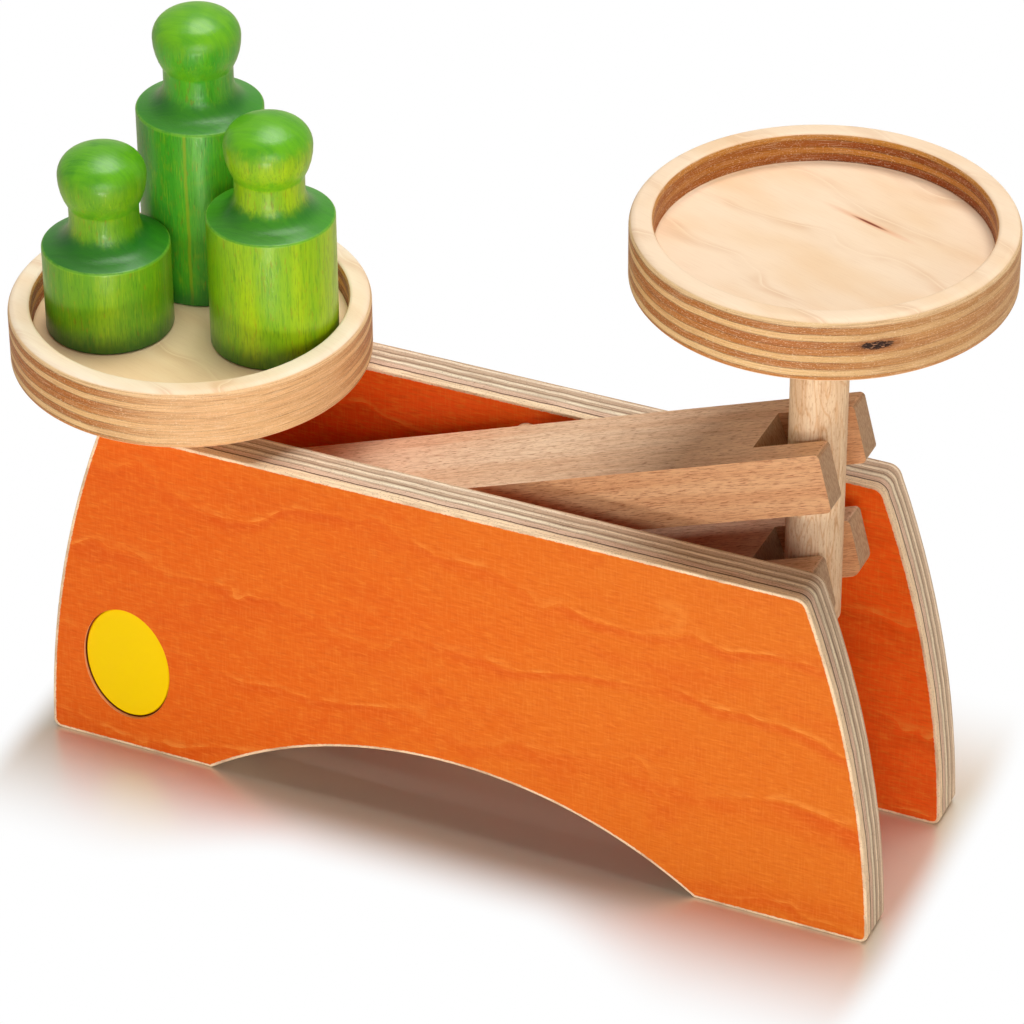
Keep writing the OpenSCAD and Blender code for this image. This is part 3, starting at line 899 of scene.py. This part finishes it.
# %% Columns
UPRIGHT = (0.0, -math.pi / 2, 0.0)
COLUMN_EASE = 0.4 * MM
for node in ("left_column", "right_column"):
    wood = beech(
        f"turned_beech_{node}", centre(node), UPRIGHT,
        pale="#f5dbb9", warm="#e8c7a2", ray="#c99a68", end="#c7a27c",
        ray_size=(2.2, 0.5, 0.5), rays=0.35, arches=0.5,
    )
    hand_over(node, f"{node}_wood", sanded(node, COLUMN_EASE), wood)

# %% Stop rods
CROSSWAYS = (0.0, 0.0, math.pi / 2)
ROD_STEPS = 64
ROD_EDGE = 0.6
rod_wood = beech(
    "turned_beech_rod", (0.0, 0.0, 0.0), CROSSWAYS,
    pale="#f0d2ab", warm="#e3bd92", ray="#c08a58", end="#bd966d",
    ray_size=(2.0, 0.4, 0.4), rays=0.4,
)
for node in ("left_stop_rod", "right_stop_rod"):
    long, thick, place = lying(node)
    bar = profile([(0, 0, 0), (thick, 0, ROD_EDGE), (thick, long, ROD_EDGE), (0, long, 0)])
    hand_over(node, f"{node}_wood", turned(bar, ROD_STEPS, place, rod_wood, "Y"), rod_wood)

# %% Spacers
AXLE_HOLE = 3.03
SPACER_EDGE = 0.5
for node in ("upper_front_spacer", "upper_back_spacer", "lower_front_spacer", "lower_back_spacer"):
    long, thick, place = lying(node, 2)
    ring = profile([
        (AXLE_HOLE, long / 2, 0), (AXLE_HOLE, 0, 0), (thick, 0, SPACER_EDGE),
        (thick, long, SPACER_EDGE), (AXLE_HOLE, long, 0), (AXLE_HOLE, long / 2, 0),
    ])
    hand_over(node, f"{node}_wood", turned(ring, ROD_STEPS, place, rod_wood, "Y"), rod_wood)

# %% [markdown]
# Axles and pins are lengths of drawn steel rod with a small chamfer. Drawing leaves fine lines
# along the rod, so the roughness changes round it and not along it.

# %% Drawn steel
steel, tree = new_material("drawn_steel_rod")
place, _ = own_millimetres(tree, (0.0, 0.0, 0.0))
lines = grain(tree, place, (0.12, 40.0, 0.12), 2.0)
polish = add(tree, "ShaderNodeMapRange", [lines, 0.2, 0.8, 0.24, 0.42], **SOFT)
shader = add(tree, "ShaderNodeBsdfPrincipled", {
    "Base Color": "#b4b2ae", "Metallic": 1.0, "Roughness": polish,
})
add(tree, "ShaderNodeOutputMaterial", {"Surface": shader})

# %% Steel axles and pins
CHAMFER = 0.3
PINS = ("upper_left_pin", "upper_right_pin", "lower_left_pin", "lower_right_pin")
for node in ("upper_axle", "lower_axle", *PINS):
    long, thick, place = lying(node)
    bar = [
        (0, 0), (thick - CHAMFER, 0), (thick, CHAMFER),
        (thick, long - CHAMFER), (thick - CHAMFER, long), (0, long),
    ]
    hand_over(node, f"{node}_steel", turned(bar, ROD_STEPS, place, steel, "Y"), steel)

# %% [markdown]
# The pans are turned from 21 mm birch plywood, nine layers of equal thickness. On the round wall
# the layers look different from side to side: where the fibres of every second layer end, the
# bands are strong, and a quarter turn further they nearly vanish. So two colour ramps are drawn,
# one strong and one weak, and the direction from the middle of the pan mixes them. Thin glue
# lines lie between the layers and are clearest where the bands are strong.

# %% Wall of a pan
PAN_RADIUS = 58.0
PAN_THICK = 21.0
STRONG = ["#c47c34", "#f2ca90", "#be7636", "#ecbe80", "#c67e3a", "#bc7030", "#f0c488", "#be7636", "#f2cd98"]
WEAK = ["#c98d52", "#ddb07a", "#cb935a", "#d9a971", "#c88c54", "#cd935a", "#dcae78", "#cb935a", "#ebc594"]
LAYER_SOFT = 0.014
SHADED_INNER_WALL = (53.0, 52.2)
WALL_MARKS = {
    "streaks": Mark((14.0, 14.0, 0.26), 0.42, 0.72, 0.5, "#a87040", "MULTIPLY"),
    "silk": Mark((5.0, 5.0, 0.22), 0.5, 0.72, 0.3, "#ffe2ba", detail=2.0),
    "specks": Mark((0.6, 0.6, 0.3), 0.56, 0.72, 0.52, "#ffe4bc", detail=2.0),
    "pores": Mark((0.5, 0.5, 0.35), 0.6, 0.78, 0.35, "#9c6638", "MULTIPLY", 1.0),
}


def equal_layers(colours):
    """Pairs of end and colour for layers of one thickness, from the underside up."""
    return [((i + 1) / len(colours), colour) for i, colour in enumerate(colours)]


def pan_wall(tree, place, moved, strong_way, pale):
    """Colour of a pan's wall, with painted shade on its inner side, and its marks. The weak side is paler by
    the share pale.
    """
    height = add(tree, "ShaderNodeSeparateXYZ", [place]).outputs[2]
    share = layer_depth(tree, moved, height, PAN_THICK, (26.0, 26.0, 400.0), 0.06, 2.0)
    strong = layer_ramp(tree, share, equal_layers(STRONG), LAYER_SOFT)
    weak = layer_ramp(tree, share, equal_layers(WEAK), LAYER_SOFT)
    weak = glaze(tree, weak, "#f7c892", pale)

    flat = add(tree, "ShaderNodeVectorMath", [place, (1.0, 1.0, 0.0)], operation="MULTIPLY")
    radius = add(tree, "ShaderNodeVectorMath", [flat], operation="LENGTH")
    outwards = add(tree, "ShaderNodeVectorMath", [flat], operation="NORMALIZE")
    along = add(tree, "ShaderNodeVectorMath", [outwards, strong_way], operation="DOT_PRODUCT")
    along = add(tree, "ShaderNodeMath", [along, 2.0], operation="POWER")
    crosswise = add(tree, "ShaderNodeMapRange", [along, 0.10, 0.80], **SOFT)
    wall = glaze(tree, weak, strong, crosswise)

    layer = add(tree, "ShaderNodeMath", [share, len(STRONG)], operation="MULTIPLY")
    layer = add(tree, "ShaderNodeMath", [layer, 0.5], operation="PINGPONG")
    glue = add(tree, "ShaderNodeMapRange", [layer, 0.14, 0.02], **SOFT)
    clear = add(tree, "ShaderNodeMapRange", [crosswise, 0.0, 1.0, 0.12, 0.55], **SOFT)
    wall = glaze(tree, wall, "#7a4a24", glue, clear)
    # Painted shade: the inner side of the wall is multiplied darker than the outer side.
    inner = add(tree, "ShaderNodeMapRange", [radius, *SHADED_INNER_WALL], **SOFT)
    wall = glaze(tree, wall, "#dfb468", inner, 1.0, "MULTIPLY")
    return draw_marks(tree, moved, wall, WALL_MARKS)


print(f"a pan's {len(STRONG)} layers are {PAN_THICK / len(STRONG):.2f} mm thick each")

# %% [markdown]
# A pan's floor, rim and underside are sliced veneer, so they show its figure. The floor and the
# rim are cut at different heights and so are different layers, each with its own tone. The veins
# lie at an angle to the beams, so the pattern is turned before it is drawn.

# %% Floor, rim and underside of a pan
VEIN_TURN = math.radians(20)
VEIN_SPACING = 24.0
FLOOR_TO_RIM = (13.0, 17.0)


def pan_veneer(tree, place, moved, floor, rim):
    """Colour of a pan's flat faces, from the tones of its floor and its rim."""
    veined = add(tree, "ShaderNodeVectorRotate", {"Vector": moved, "Angle": VEIN_TURN},
                 rotation_type="Z_AXIS")
    height = add(tree, "ShaderNodeSeparateXYZ", [place]).outputs[2]
    upper = add(tree, "ShaderNodeMapRange", [height, *FLOOR_TO_RIM], **SOFT)
    cloud = flecked(tree, veined, (60.0, 22.0, 400.0), 0.38, 0.75, 2.0)
    veneer = glaze(tree, glaze(tree, floor, rim, upper), "#f4c996", cloud, 0.6)

    across = add(tree, "ShaderNodeSeparateXYZ", [veined]).outputs[1]
    below, above = figure_steps(tree, veined, across, VEIN_SPACING, (60.0, 34.0, 400.0), 1.8)
    clear = flecked(tree, veined, (30.0, 16.0, 400.0), 0.38, 0.62, 2.0, least=0.2)
    figure = add(tree, "ShaderNodeMath", [below, above], operation="ADD")
    figure = add(tree, "ShaderNodeMath", [figure, clear], operation="MULTIPLY")
    return glaze(tree, veneer, "#d2924e", figure, 0.3), veined


# %% [markdown]
# Two flaws tell the right pan from the left. A small knot was cut open in its wall and left a
# torn dark hole with pale splinters and a brown halo, and a short brown mineral vein lies in its
# floor. Both are drawn by the distance from a spot, which is wide one way and narrow the other.

# %% Flaws of the right pan
FLOOR_HEIGHT = 11.2
KNOT = {"middle": (34.1, -46.9, 12.3), "halves": (5.4, 5.4, 1.35)}
MINERAL = {"middle": (7.6, 18.3, FLOOR_HEIGHT), "halves": (8.6, 0.75, 100.0)}


def with_knot(tree, place, moved, wall, middle, halves):
    """The wall's colour with a torn knot in it."""
    torn = grain(tree, moved, (1.2, 1.2, 0.5))
    reach = add(tree, "ShaderNodeMath", [torn, 0.9, spot(tree, place, middle, halves)],
                operation="MULTIPLY_ADD")
    splinters = flecked(tree, moved, (1.4, 1.4, 0.4), 0.55, 0.65, 1.0)
    hole = glaze(tree, "#2c1712", "#a87858", splinters)
    halo = add(tree, "ShaderNodeMapRange", [reach, 2.6, 1.3], **SOFT)
    wall = glaze(tree, wall, "#a4653a", halo, 0.5, "MULTIPLY")
    return glaze(tree, wall, hole, add(tree, "ShaderNodeMapRange", [reach, 1.5, 1.25], **SOFT))


def with_mineral(tree, place, veneer, middle, halves):
    """The veneer's colour with a brown vein in it."""
    reach = spot(tree, place, middle, halves, VEIN_TURN)
    glow = add(tree, "ShaderNodeMapRange", [reach, 2.6, 0.4], **SOFT)
    veneer = glaze(tree, veneer, "#e8955c", glow, 0.5)
    return glaze(tree, veneer, "#8a3a1c", add(tree, "ShaderNodeMapRange", [reach, 1.0, 0.3], **SOFT))


# %% [markdown]
# The pans' material joins the two: what faces up or down is veneer, and the rest is wall.

# %% Turned birch plywood
def turned_birch_plywood(name, middle, offset, strong_way, pale, floor, rim, flaws=False):
    """Turned birch plywood under satin lacquer: banded wall, quiet pale faces, a soft sheen."""
    material, tree = new_material(name)
    place, normal = own_millimetres(tree, middle)
    moved = add(tree, "ShaderNodeVectorMath", [place, offset], operation="ADD")
    wall, marks = pan_wall(tree, place, moved, strong_way, pale)
    veneer, veined = pan_veneer(tree, place, moved, floor, rim)
    if flaws:
        wall = with_knot(tree, place, moved, wall, **KNOT)
        veneer = with_mineral(tree, place, veneer, **MINERAL)
    fibres = flecked(tree, veined, (9.0, 0.35, 400.0), 0.45, 0.8, 2.0)
    veneer = glaze(tree, veneer, "#c99a66", fibres, 0.12, "MULTIPLY")

    level = add(tree, "ShaderNodeMapRange", [facing(tree, normal, 2), 0.55, 0.75], **SOFT)
    dents = add(tree, "ShaderNodeMath", [marks["streaks"], marks["pores"]], operation="ADD")
    lacquer(tree, glaze(tree, wall, veneer, level), dents,
            strength=0.2, depth=0.06, roughness=0.5, ior=1.45, gloss=0.3)
    return material


# %% [markdown]
# A pan's profile starts in the blind hole for the column, goes out along the underside, up the
# wall, over the round rim and down to the sunk floor. A row for each pan holds the place of its
# pattern in the noise, the direction in which its bands are strong, how pale its weak side is,
# the tones of its floor and its rim, and whether it has the two flaws.

# %% Pans
PAN_EDGE = 2.5
RIM_RADIUS = 50.7
RIM_EDGE = 1.6
FLOOR_EDGE = 1.0
SOCKET_RADIUS = 6.03
SOCKET_DEPTH = 7.2
PAN_STEPS = 192
pan_line = profile([
    (0, SOCKET_DEPTH, 0), (SOCKET_RADIUS, SOCKET_DEPTH, 0), (SOCKET_RADIUS, 0, 0),
    (PAN_RADIUS, 0, PAN_EDGE), (PAN_RADIUS, PAN_THICK, PAN_EDGE), (RIM_RADIUS, PAN_THICK, RIM_EDGE),
    (RIM_RADIUS, FLOOR_HEIGHT, FLOOR_EDGE), (0, FLOOR_HEIGHT, 0),
])
PANS = {
    "left_pan": ((40.0, 10.0, 0.0), (-0.666, -0.746, 0.0), 0.7, "#ffdfb2", "#ffecd0", False),
    "right_pan": ((0.0, 0.0, 0.0), (-0.354, -0.935, 0.0), 0.0, "#ffe3c2", "#ffe3c2", True),
}
for node, look in PANS.items():
    place = standing(node)
    wood = turned_birch_plywood(f"turned_birch_plywood_{node}", place, *look)
    hand_over(node, f"{node}_wood", turned(pan_line, PAN_STEPS, place, wood), wood)

# %% [markdown]
# The weights are turned from beech along the grain, then dipped in green stain. Side grain takes
# up little and stays yellowish. On the left side it is painted a deeper green, as painted shade
# of the side turned away from the lamps. Dark hairlines are the rays of the wood filled with
# stain. Each weight comes from another rod, so each has its own tone, and the tallest also shows
# one pale line along its body.

# %% Green side grain
BODY_RADIUS = 20.5
TO_THE_RIGHT = (0.91, 0.41, 0.0)
LEFT_SHADE_FROM, LEFT_SHADE_FULL_AT = -4.0, -19.0
STREAK_HALF = (0.75, 0.2)
SIDE_MARKS = {
    "blotches": Mark((2.6, 2.6, 5.0), 0.5, 0.8, 0.22, "#b8c010", detail=2.0),
    "dashes": Mark((0.55, 0.55, 7.0), 0.48, 0.7, 0.42, "#3f8a12", detail=2.0),
    "light": Mark((0.5, 0.5, 6.0), 0.54, 0.72, 0.25, "#c2d820", detail=2.0),
    "rust": Mark((0.9, 0.9, 4.0), 0.62, 0.76, 0.35, "#a87c18", detail=1.0),
    "fine": Mark((0.24, 0.24, 4.2), 0.62, 0.74, 0.5, "#2f5d12", detail=1.0),
}


def green_side(tree, moved, height, sideways, body, side, side_deep, streak):
    """Colour of a weight's side grain, with painted shade on its left side, and its marks, with a pale line
    streak mm to the right.
    """
    bands = flecked(tree, moved, (7.0, 5.0, 90.0), 0.32, 0.68)
    colour = glaze(tree, side, side_deep, bands, 0.7)
    # Painted shade: the left side, away from the lamps, turns deeper green.
    left_shade = add(tree, "ShaderNodeMapRange", [sideways, LEFT_SHADE_FROM, LEFT_SHADE_FULL_AT], **SOFT)
    colour = glaze(tree, colour, side_deep, left_shade, 0.75)
    colour, marks = draw_marks(tree, moved, colour, SIDE_MARKS)
    if streak:
        sway = add(tree, "ShaderNodeMath", [grain(tree, moved, (40.0, 40.0, 14.0)), 1.6, streak - 0.8],
                   operation="MULTIPLY_ADD")
        apart = add(tree, "ShaderNodeMath", [sideways, sway], operation="SUBTRACT")
        apart = add(tree, "ShaderNodeMath", [apart], operation="ABSOLUTE")
        line = add(tree, "ShaderNodeMapRange", [apart, *STREAK_HALF], **SOFT)
        on_body = add(tree, "ShaderNodeMapRange", [height, body + 2.0, body], **SOFT)
        line = add(tree, "ShaderNodeMath", [line, on_body], operation="MULTIPLY")
        colour = glaze(tree, colour, "#a8b014", line, 0.55)
    return colour, marks


# %% [markdown]
# End grain, on the shoulders and on top of the knobs, drinks more stain and goes deep green, with
# the year rings as darker lines and the pores as dots. On the knob it is lighter, in patches.

# %% Green end grain
END_DOTS = Mark((0.3, 0.3, 0.9), 0.6, 0.78, 0.25, "#2b6416", detail=1.0)


def green_end(tree, moved, height, level, end, knob, foot):
    """Colour of a weight's end grain, its rings and its dots. The knob's middle is at level."""
    rings = flecked(tree, moved, (11.0, 1.1, 60.0), 0.35, 0.7, 4.0)
    dark = glaze(tree, end, foot, rings, 0.30)
    soaked = flecked(tree, moved, (9.0, 9.0, 9.0), 0.45, 0.65, 2.0)
    soaked = add(tree, "ShaderNodeMath", [rings, soaked], operation="ADD")
    light = glaze(tree, knob, end, soaked, 0.36)
    up_to_knob = add(tree, "ShaderNodeMapRange", [height, level - 16.0, level - 10.0], **SOFT)
    colour = glaze(tree, dark, light, up_to_knob)
    colour, marks = draw_marks(tree, moved, colour, {"dots": END_DOTS})
    return colour, rings, marks["dots"]


# %% [markdown]
# Two more marks are painted light. Painted shade lies in the hollow round the neck's foot, on the
# left and on the right, and a painted highlight runs along the upper rim of the body.

# %% Painted shade in the neck's hollow and a painted highlight on the rim
def shade_and_rim_highlight(tree, colour, height, radius, sideways, body, blur):
    """The colour with painted shade in the hollow at the neck and a painted highlight on the body's rim."""
    # Painted shade in the hollow at the neck's foot, strongest on the left and the right.
    above = add(tree, "ShaderNodeMapRange", [height, body - 1.0, body], **SOFT)
    below = add(tree, "ShaderNodeMapRange", [height, body + 9.0, body + 3.0], **SOFT)
    inside = add(tree, "ShaderNodeMapRange", [radius, 17.0, 12.5], **SOFT)
    hollow = add(tree, "ShaderNodeMath", [above, below], operation="MULTIPLY")
    hollow = add(tree, "ShaderNodeMath", [hollow, inside], operation="MULTIPLY")
    aside = add(tree, "ShaderNodeMath", [sideways, radius], operation="DIVIDE")
    aside = add(tree, "ShaderNodeMath", [aside], operation="ABSOLUTE")
    aside = add(tree, "ShaderNodeMapRange", [aside, 0.35, 0.9, 0.0, 0.5], **SOFT)
    colour = glaze(tree, colour, "#1c7424", hollow, aside)

    # Painted highlight along the rounded upper rim of the body.
    outside = add(tree, "ShaderNodeMapRange", [radius, BODY_RADIUS - 0.8, BODY_RADIUS - 0.3], **SOFT)
    on_top = add(tree, "ShaderNodeMapRange", [height, body - 0.9, body - 0.5], **SOFT)
    rim = add(tree, "ShaderNodeMath", [outside, on_top], operation="MULTIPLY")
    patchy = add(tree, "ShaderNodeMapRange", [blur, 0.3, 0.6, 0.15, 0.5], **SOFT)
    return glaze(tree, colour, "#8ecb34", rim, patchy)


# %% [markdown]
# The material of a weight joins these steps. End grain shows where the surface faces up or down,
# and all over the top of the knob. Noise makes that border ragged, and the foot is darker, which
# is painted shade where the weight stands in the pan.

# %% Green stained beech
KNOB_CAP = 4.5
FOOT_SHADE_FADE = (13.0, 3.0)


def green_beech(name, middle, body, level, offset, side, side_deep, end, knob, foot, streak):
    """Turned beech with green stain under gloss lacquer: deep colour, crisp small highlights."""
    material, tree = new_material(name)
    place, normal = own_millimetres(tree, middle)
    height = add(tree, "ShaderNodeSeparateXYZ", [place]).outputs[2]
    moved = add(tree, "ShaderNodeVectorMath", [place, offset], operation="ADD")
    sideways = add(tree, "ShaderNodeVectorMath", [place, TO_THE_RIGHT], operation="DOT_PRODUCT")
    flat = add(tree, "ShaderNodeVectorMath", [place, (1.0, 1.0, 0.0)], operation="MULTIPLY")
    radius = add(tree, "ShaderNodeVectorMath", [flat], operation="LENGTH")
    colour, marks = green_side(tree, moved, height, sideways, body, side, side_deep, streak)
    ends, rings, dots = green_end(tree, moved, height, level, end, knob, foot)

    blur = grain(tree, moved, (1.6, 1.6, 5.0))
    upward = add(tree, "ShaderNodeMath", [facing(tree, normal, 2), 0.25], operation="SUBTRACT")
    upward = add(tree, "ShaderNodeMath", [blur, 0.5, upward], operation="MULTIPLY_ADD")
    upward = add(tree, "ShaderNodeMapRange", [upward, 0.14, 0.62], **SOFT)
    cap = add(tree, "ShaderNodeMath", [height, level + KNOB_CAP], operation="SUBTRACT")
    cap = add(tree, "ShaderNodeMath", [blur, 9.0, cap], operation="MULTIPLY_ADD")
    cap = add(tree, "ShaderNodeMapRange", [cap, -2.5, 4.5], **SOFT)
    colour = glaze(tree, colour, ends, add(tree, "ShaderNodeMath", [upward, cap], operation="MAXIMUM"))
    colour = shade_and_rim_highlight(tree, colour, height, radius, sideways, body, blur)
    # Painted shade: darker towards the foot, where the weight stands in the pan.
    lifted = add(tree, "ShaderNodeMath", [blur, 6.0, height], operation="MULTIPLY_ADD")
    low = add(tree, "ShaderNodeMapRange", [lifted, *FOOT_SHADE_FADE], **SOFT)
    colour = glaze(tree, colour, foot, low, 0.8)

    dents = add(tree, "ShaderNodeMath", [marks["dashes"], marks["fine"]], operation="ADD")
    dents = add(tree, "ShaderNodeMath", [rings, 0.8, dents], operation="MULTIPLY_ADD")
    dents = add(tree, "ShaderNodeMath", [dents, dots], operation="ADD")
    lacquer(tree, colour, dents, strength=0.4, depth=0.05, roughness=0.29, ior=1.48, gloss=0.42)
    return material


# %% [markdown]
# All three weights share the foot, the neck and the knob, and only the height of the body
# differs. The body's top rises like a flat cone into the wide hollow of the neck. The neck runs
# through a small hollow into the side of the knob, a flat bow that turns over the knob's
# shoulder into a low dome. So the profile is a chain of arcs that touch each other.

# %% Profile of a weight
EDGE_RADIUS = 0.9
TOP_SLOPE = math.radians(18)
NECK_RADIUS = 11.2
FOOT_HOLLOW = 8.5
KNOB_HOLLOW = 3.5
KNOB_RADIUS = 14.1
KNOB_HEIGHT = 24.8
KNOB_TOP = 9.6
SHOULDER_RADIUS = 7.8
SIDE_RADIUS = 20.6


def weight_line(body):
    """Profile of a weight whose body is that many millimetres high."""
    level = body + KNOB_HEIGHT
    foot_out = NECK_RADIUS + FOOT_HOLLOW
    foot_up = (FOOT_HOLLOW + (BODY_RADIUS - foot_out) * math.sin(TOP_SLOPE)) / math.cos(TOP_SLOPE)
    side_out = KNOB_RADIUS - SIDE_RADIUS
    hollow_out = NECK_RADIUS + KNOB_HOLLOW
    hollow_down = math.sqrt((SIDE_RADIUS + KNOB_HOLLOW) ** 2 - (hollow_out - side_out) ** 2)
    meeting = math.atan2(-hollow_down, hollow_out - side_out)
    shoulder_out = KNOB_RADIUS - SHOULDER_RADIUS
    rise = KNOB_TOP - SHOULDER_RADIUS
    dome_down = (shoulder_out ** 2 - rise ** 2) / (2 * rise)
    turn = math.atan2(dome_down, shoulder_out)
    touch = (foot_out - FOOT_HOLLOW * math.sin(TOP_SLOPE),
             body + foot_up - FOOT_HOLLOW * math.cos(TOP_SLOPE))
    return (
        profile([
            (0, 0, 0), (BODY_RADIUS, 0, EDGE_RADIUS), (BODY_RADIUS, body, EDGE_RADIUS), (*touch, 0),
        ])[:-1]
        + arc((foot_out, body + foot_up), FOOT_HOLLOW, -math.pi / 2 - TOP_SLOPE, -math.pi)
        + arc((hollow_out, level - hollow_down), KNOB_HOLLOW, math.pi, math.pi + meeting)
        + arc((side_out, level), SIDE_RADIUS, meeting, 0.0)[1:]
        + arc((shoulder_out, level), SHOULDER_RADIUS, 0.0, turn)[1:]
        + arc((0.0, level - dome_down), KNOB_TOP + dome_down, turn, math.pi / 2)[1:]
    )


print("a weight is", round(KNOB_HEIGHT + KNOB_TOP, 1), "mm higher than its body")

# %% [markdown]
# A row for each weight holds the height of its body, the place of its pattern in the noise and
# its greens: side grain, deep side grain, end grain, knob and foot.

# %% Weights
WEIGHT_STEPS = 128
WEIGHTS = {
    "small_weight": (29.7, (0.0, 0.0, 0.0), "#8abe12", "#56a01a", "#34841a", "#68b214", "#1e5a1c", 0.0),
    "medium_weight": (45.4, (30.0, 0.0, 0.0), "#aed410", "#72b816", "#46981c", "#6ab612", "#2a6c20", 0.0),
    "tall_weight": (62.9, (60.0, 0.0, 0.0), "#5eba24", "#3ea42c", "#44981e", "#74ba14", "#26782a", -4.0),
}
for node, (body, *look) in WEIGHTS.items():
    place = standing(node)
    wood = green_beech(f"green_stained_beech_{node}", place, body, body + KNOB_HEIGHT, *look)
    hand_over(node, f"{node}_wood", turned(weight_line(body), WEIGHT_STEPS, place, wood), wood)

# %% [markdown]
# The badge is an oval disc of glossy yellow plastic, slightly domed, glued into a shallow pocket
# that leaves a hair of a gap. Plastic takes the polish of its mould, so what it mirrors is sharp,
# and its own colour stays strong. The lathe turns a round disc, and one stretch makes it oval.

# %% Glossy yellow plastic
gloss_yellow, tree = new_material("moulded_glossy_yellow_plastic")
shader = add(tree, "ShaderNodeBsdfPrincipled", {
    "Base Color": "#ffd800", "Roughness": 0.12, "IOR": 1.5, "Specular IOR Level": 0.14,
})
add(tree, "ShaderNodeOutputMaterial", {"Surface": shader})

# %% Badge
DISC_RADIUS = 18.0
DOME_DROP = 0.4
FRONT_EDGE = 0.7
BACK_EDGE = 0.1
BADGE_STEPS = 160
low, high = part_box("badge")
thick, _, place = lying("badge")
dome = [(r, DOME_DROP * (r / DISC_RADIUS) ** 2, 0) for r in range(0, 17, 2)]
disc = profile(dome + [
    (DISC_RADIUS, DOME_DROP, FRONT_EDGE), (DISC_RADIUS, thick, BACK_EDGE), (0, thick, 0),
])
stretch = ((high.x - low.x) / MM / 2 / DISC_RADIUS, (high.z - low.z) / MM / 2 / DISC_RADIUS, 1.0)
oval = turned(disc, BADGE_STEPS, place, gloss_yellow, "Y", stretch)
hand_over("badge", "badge_enamel", oval, gloss_yellow)
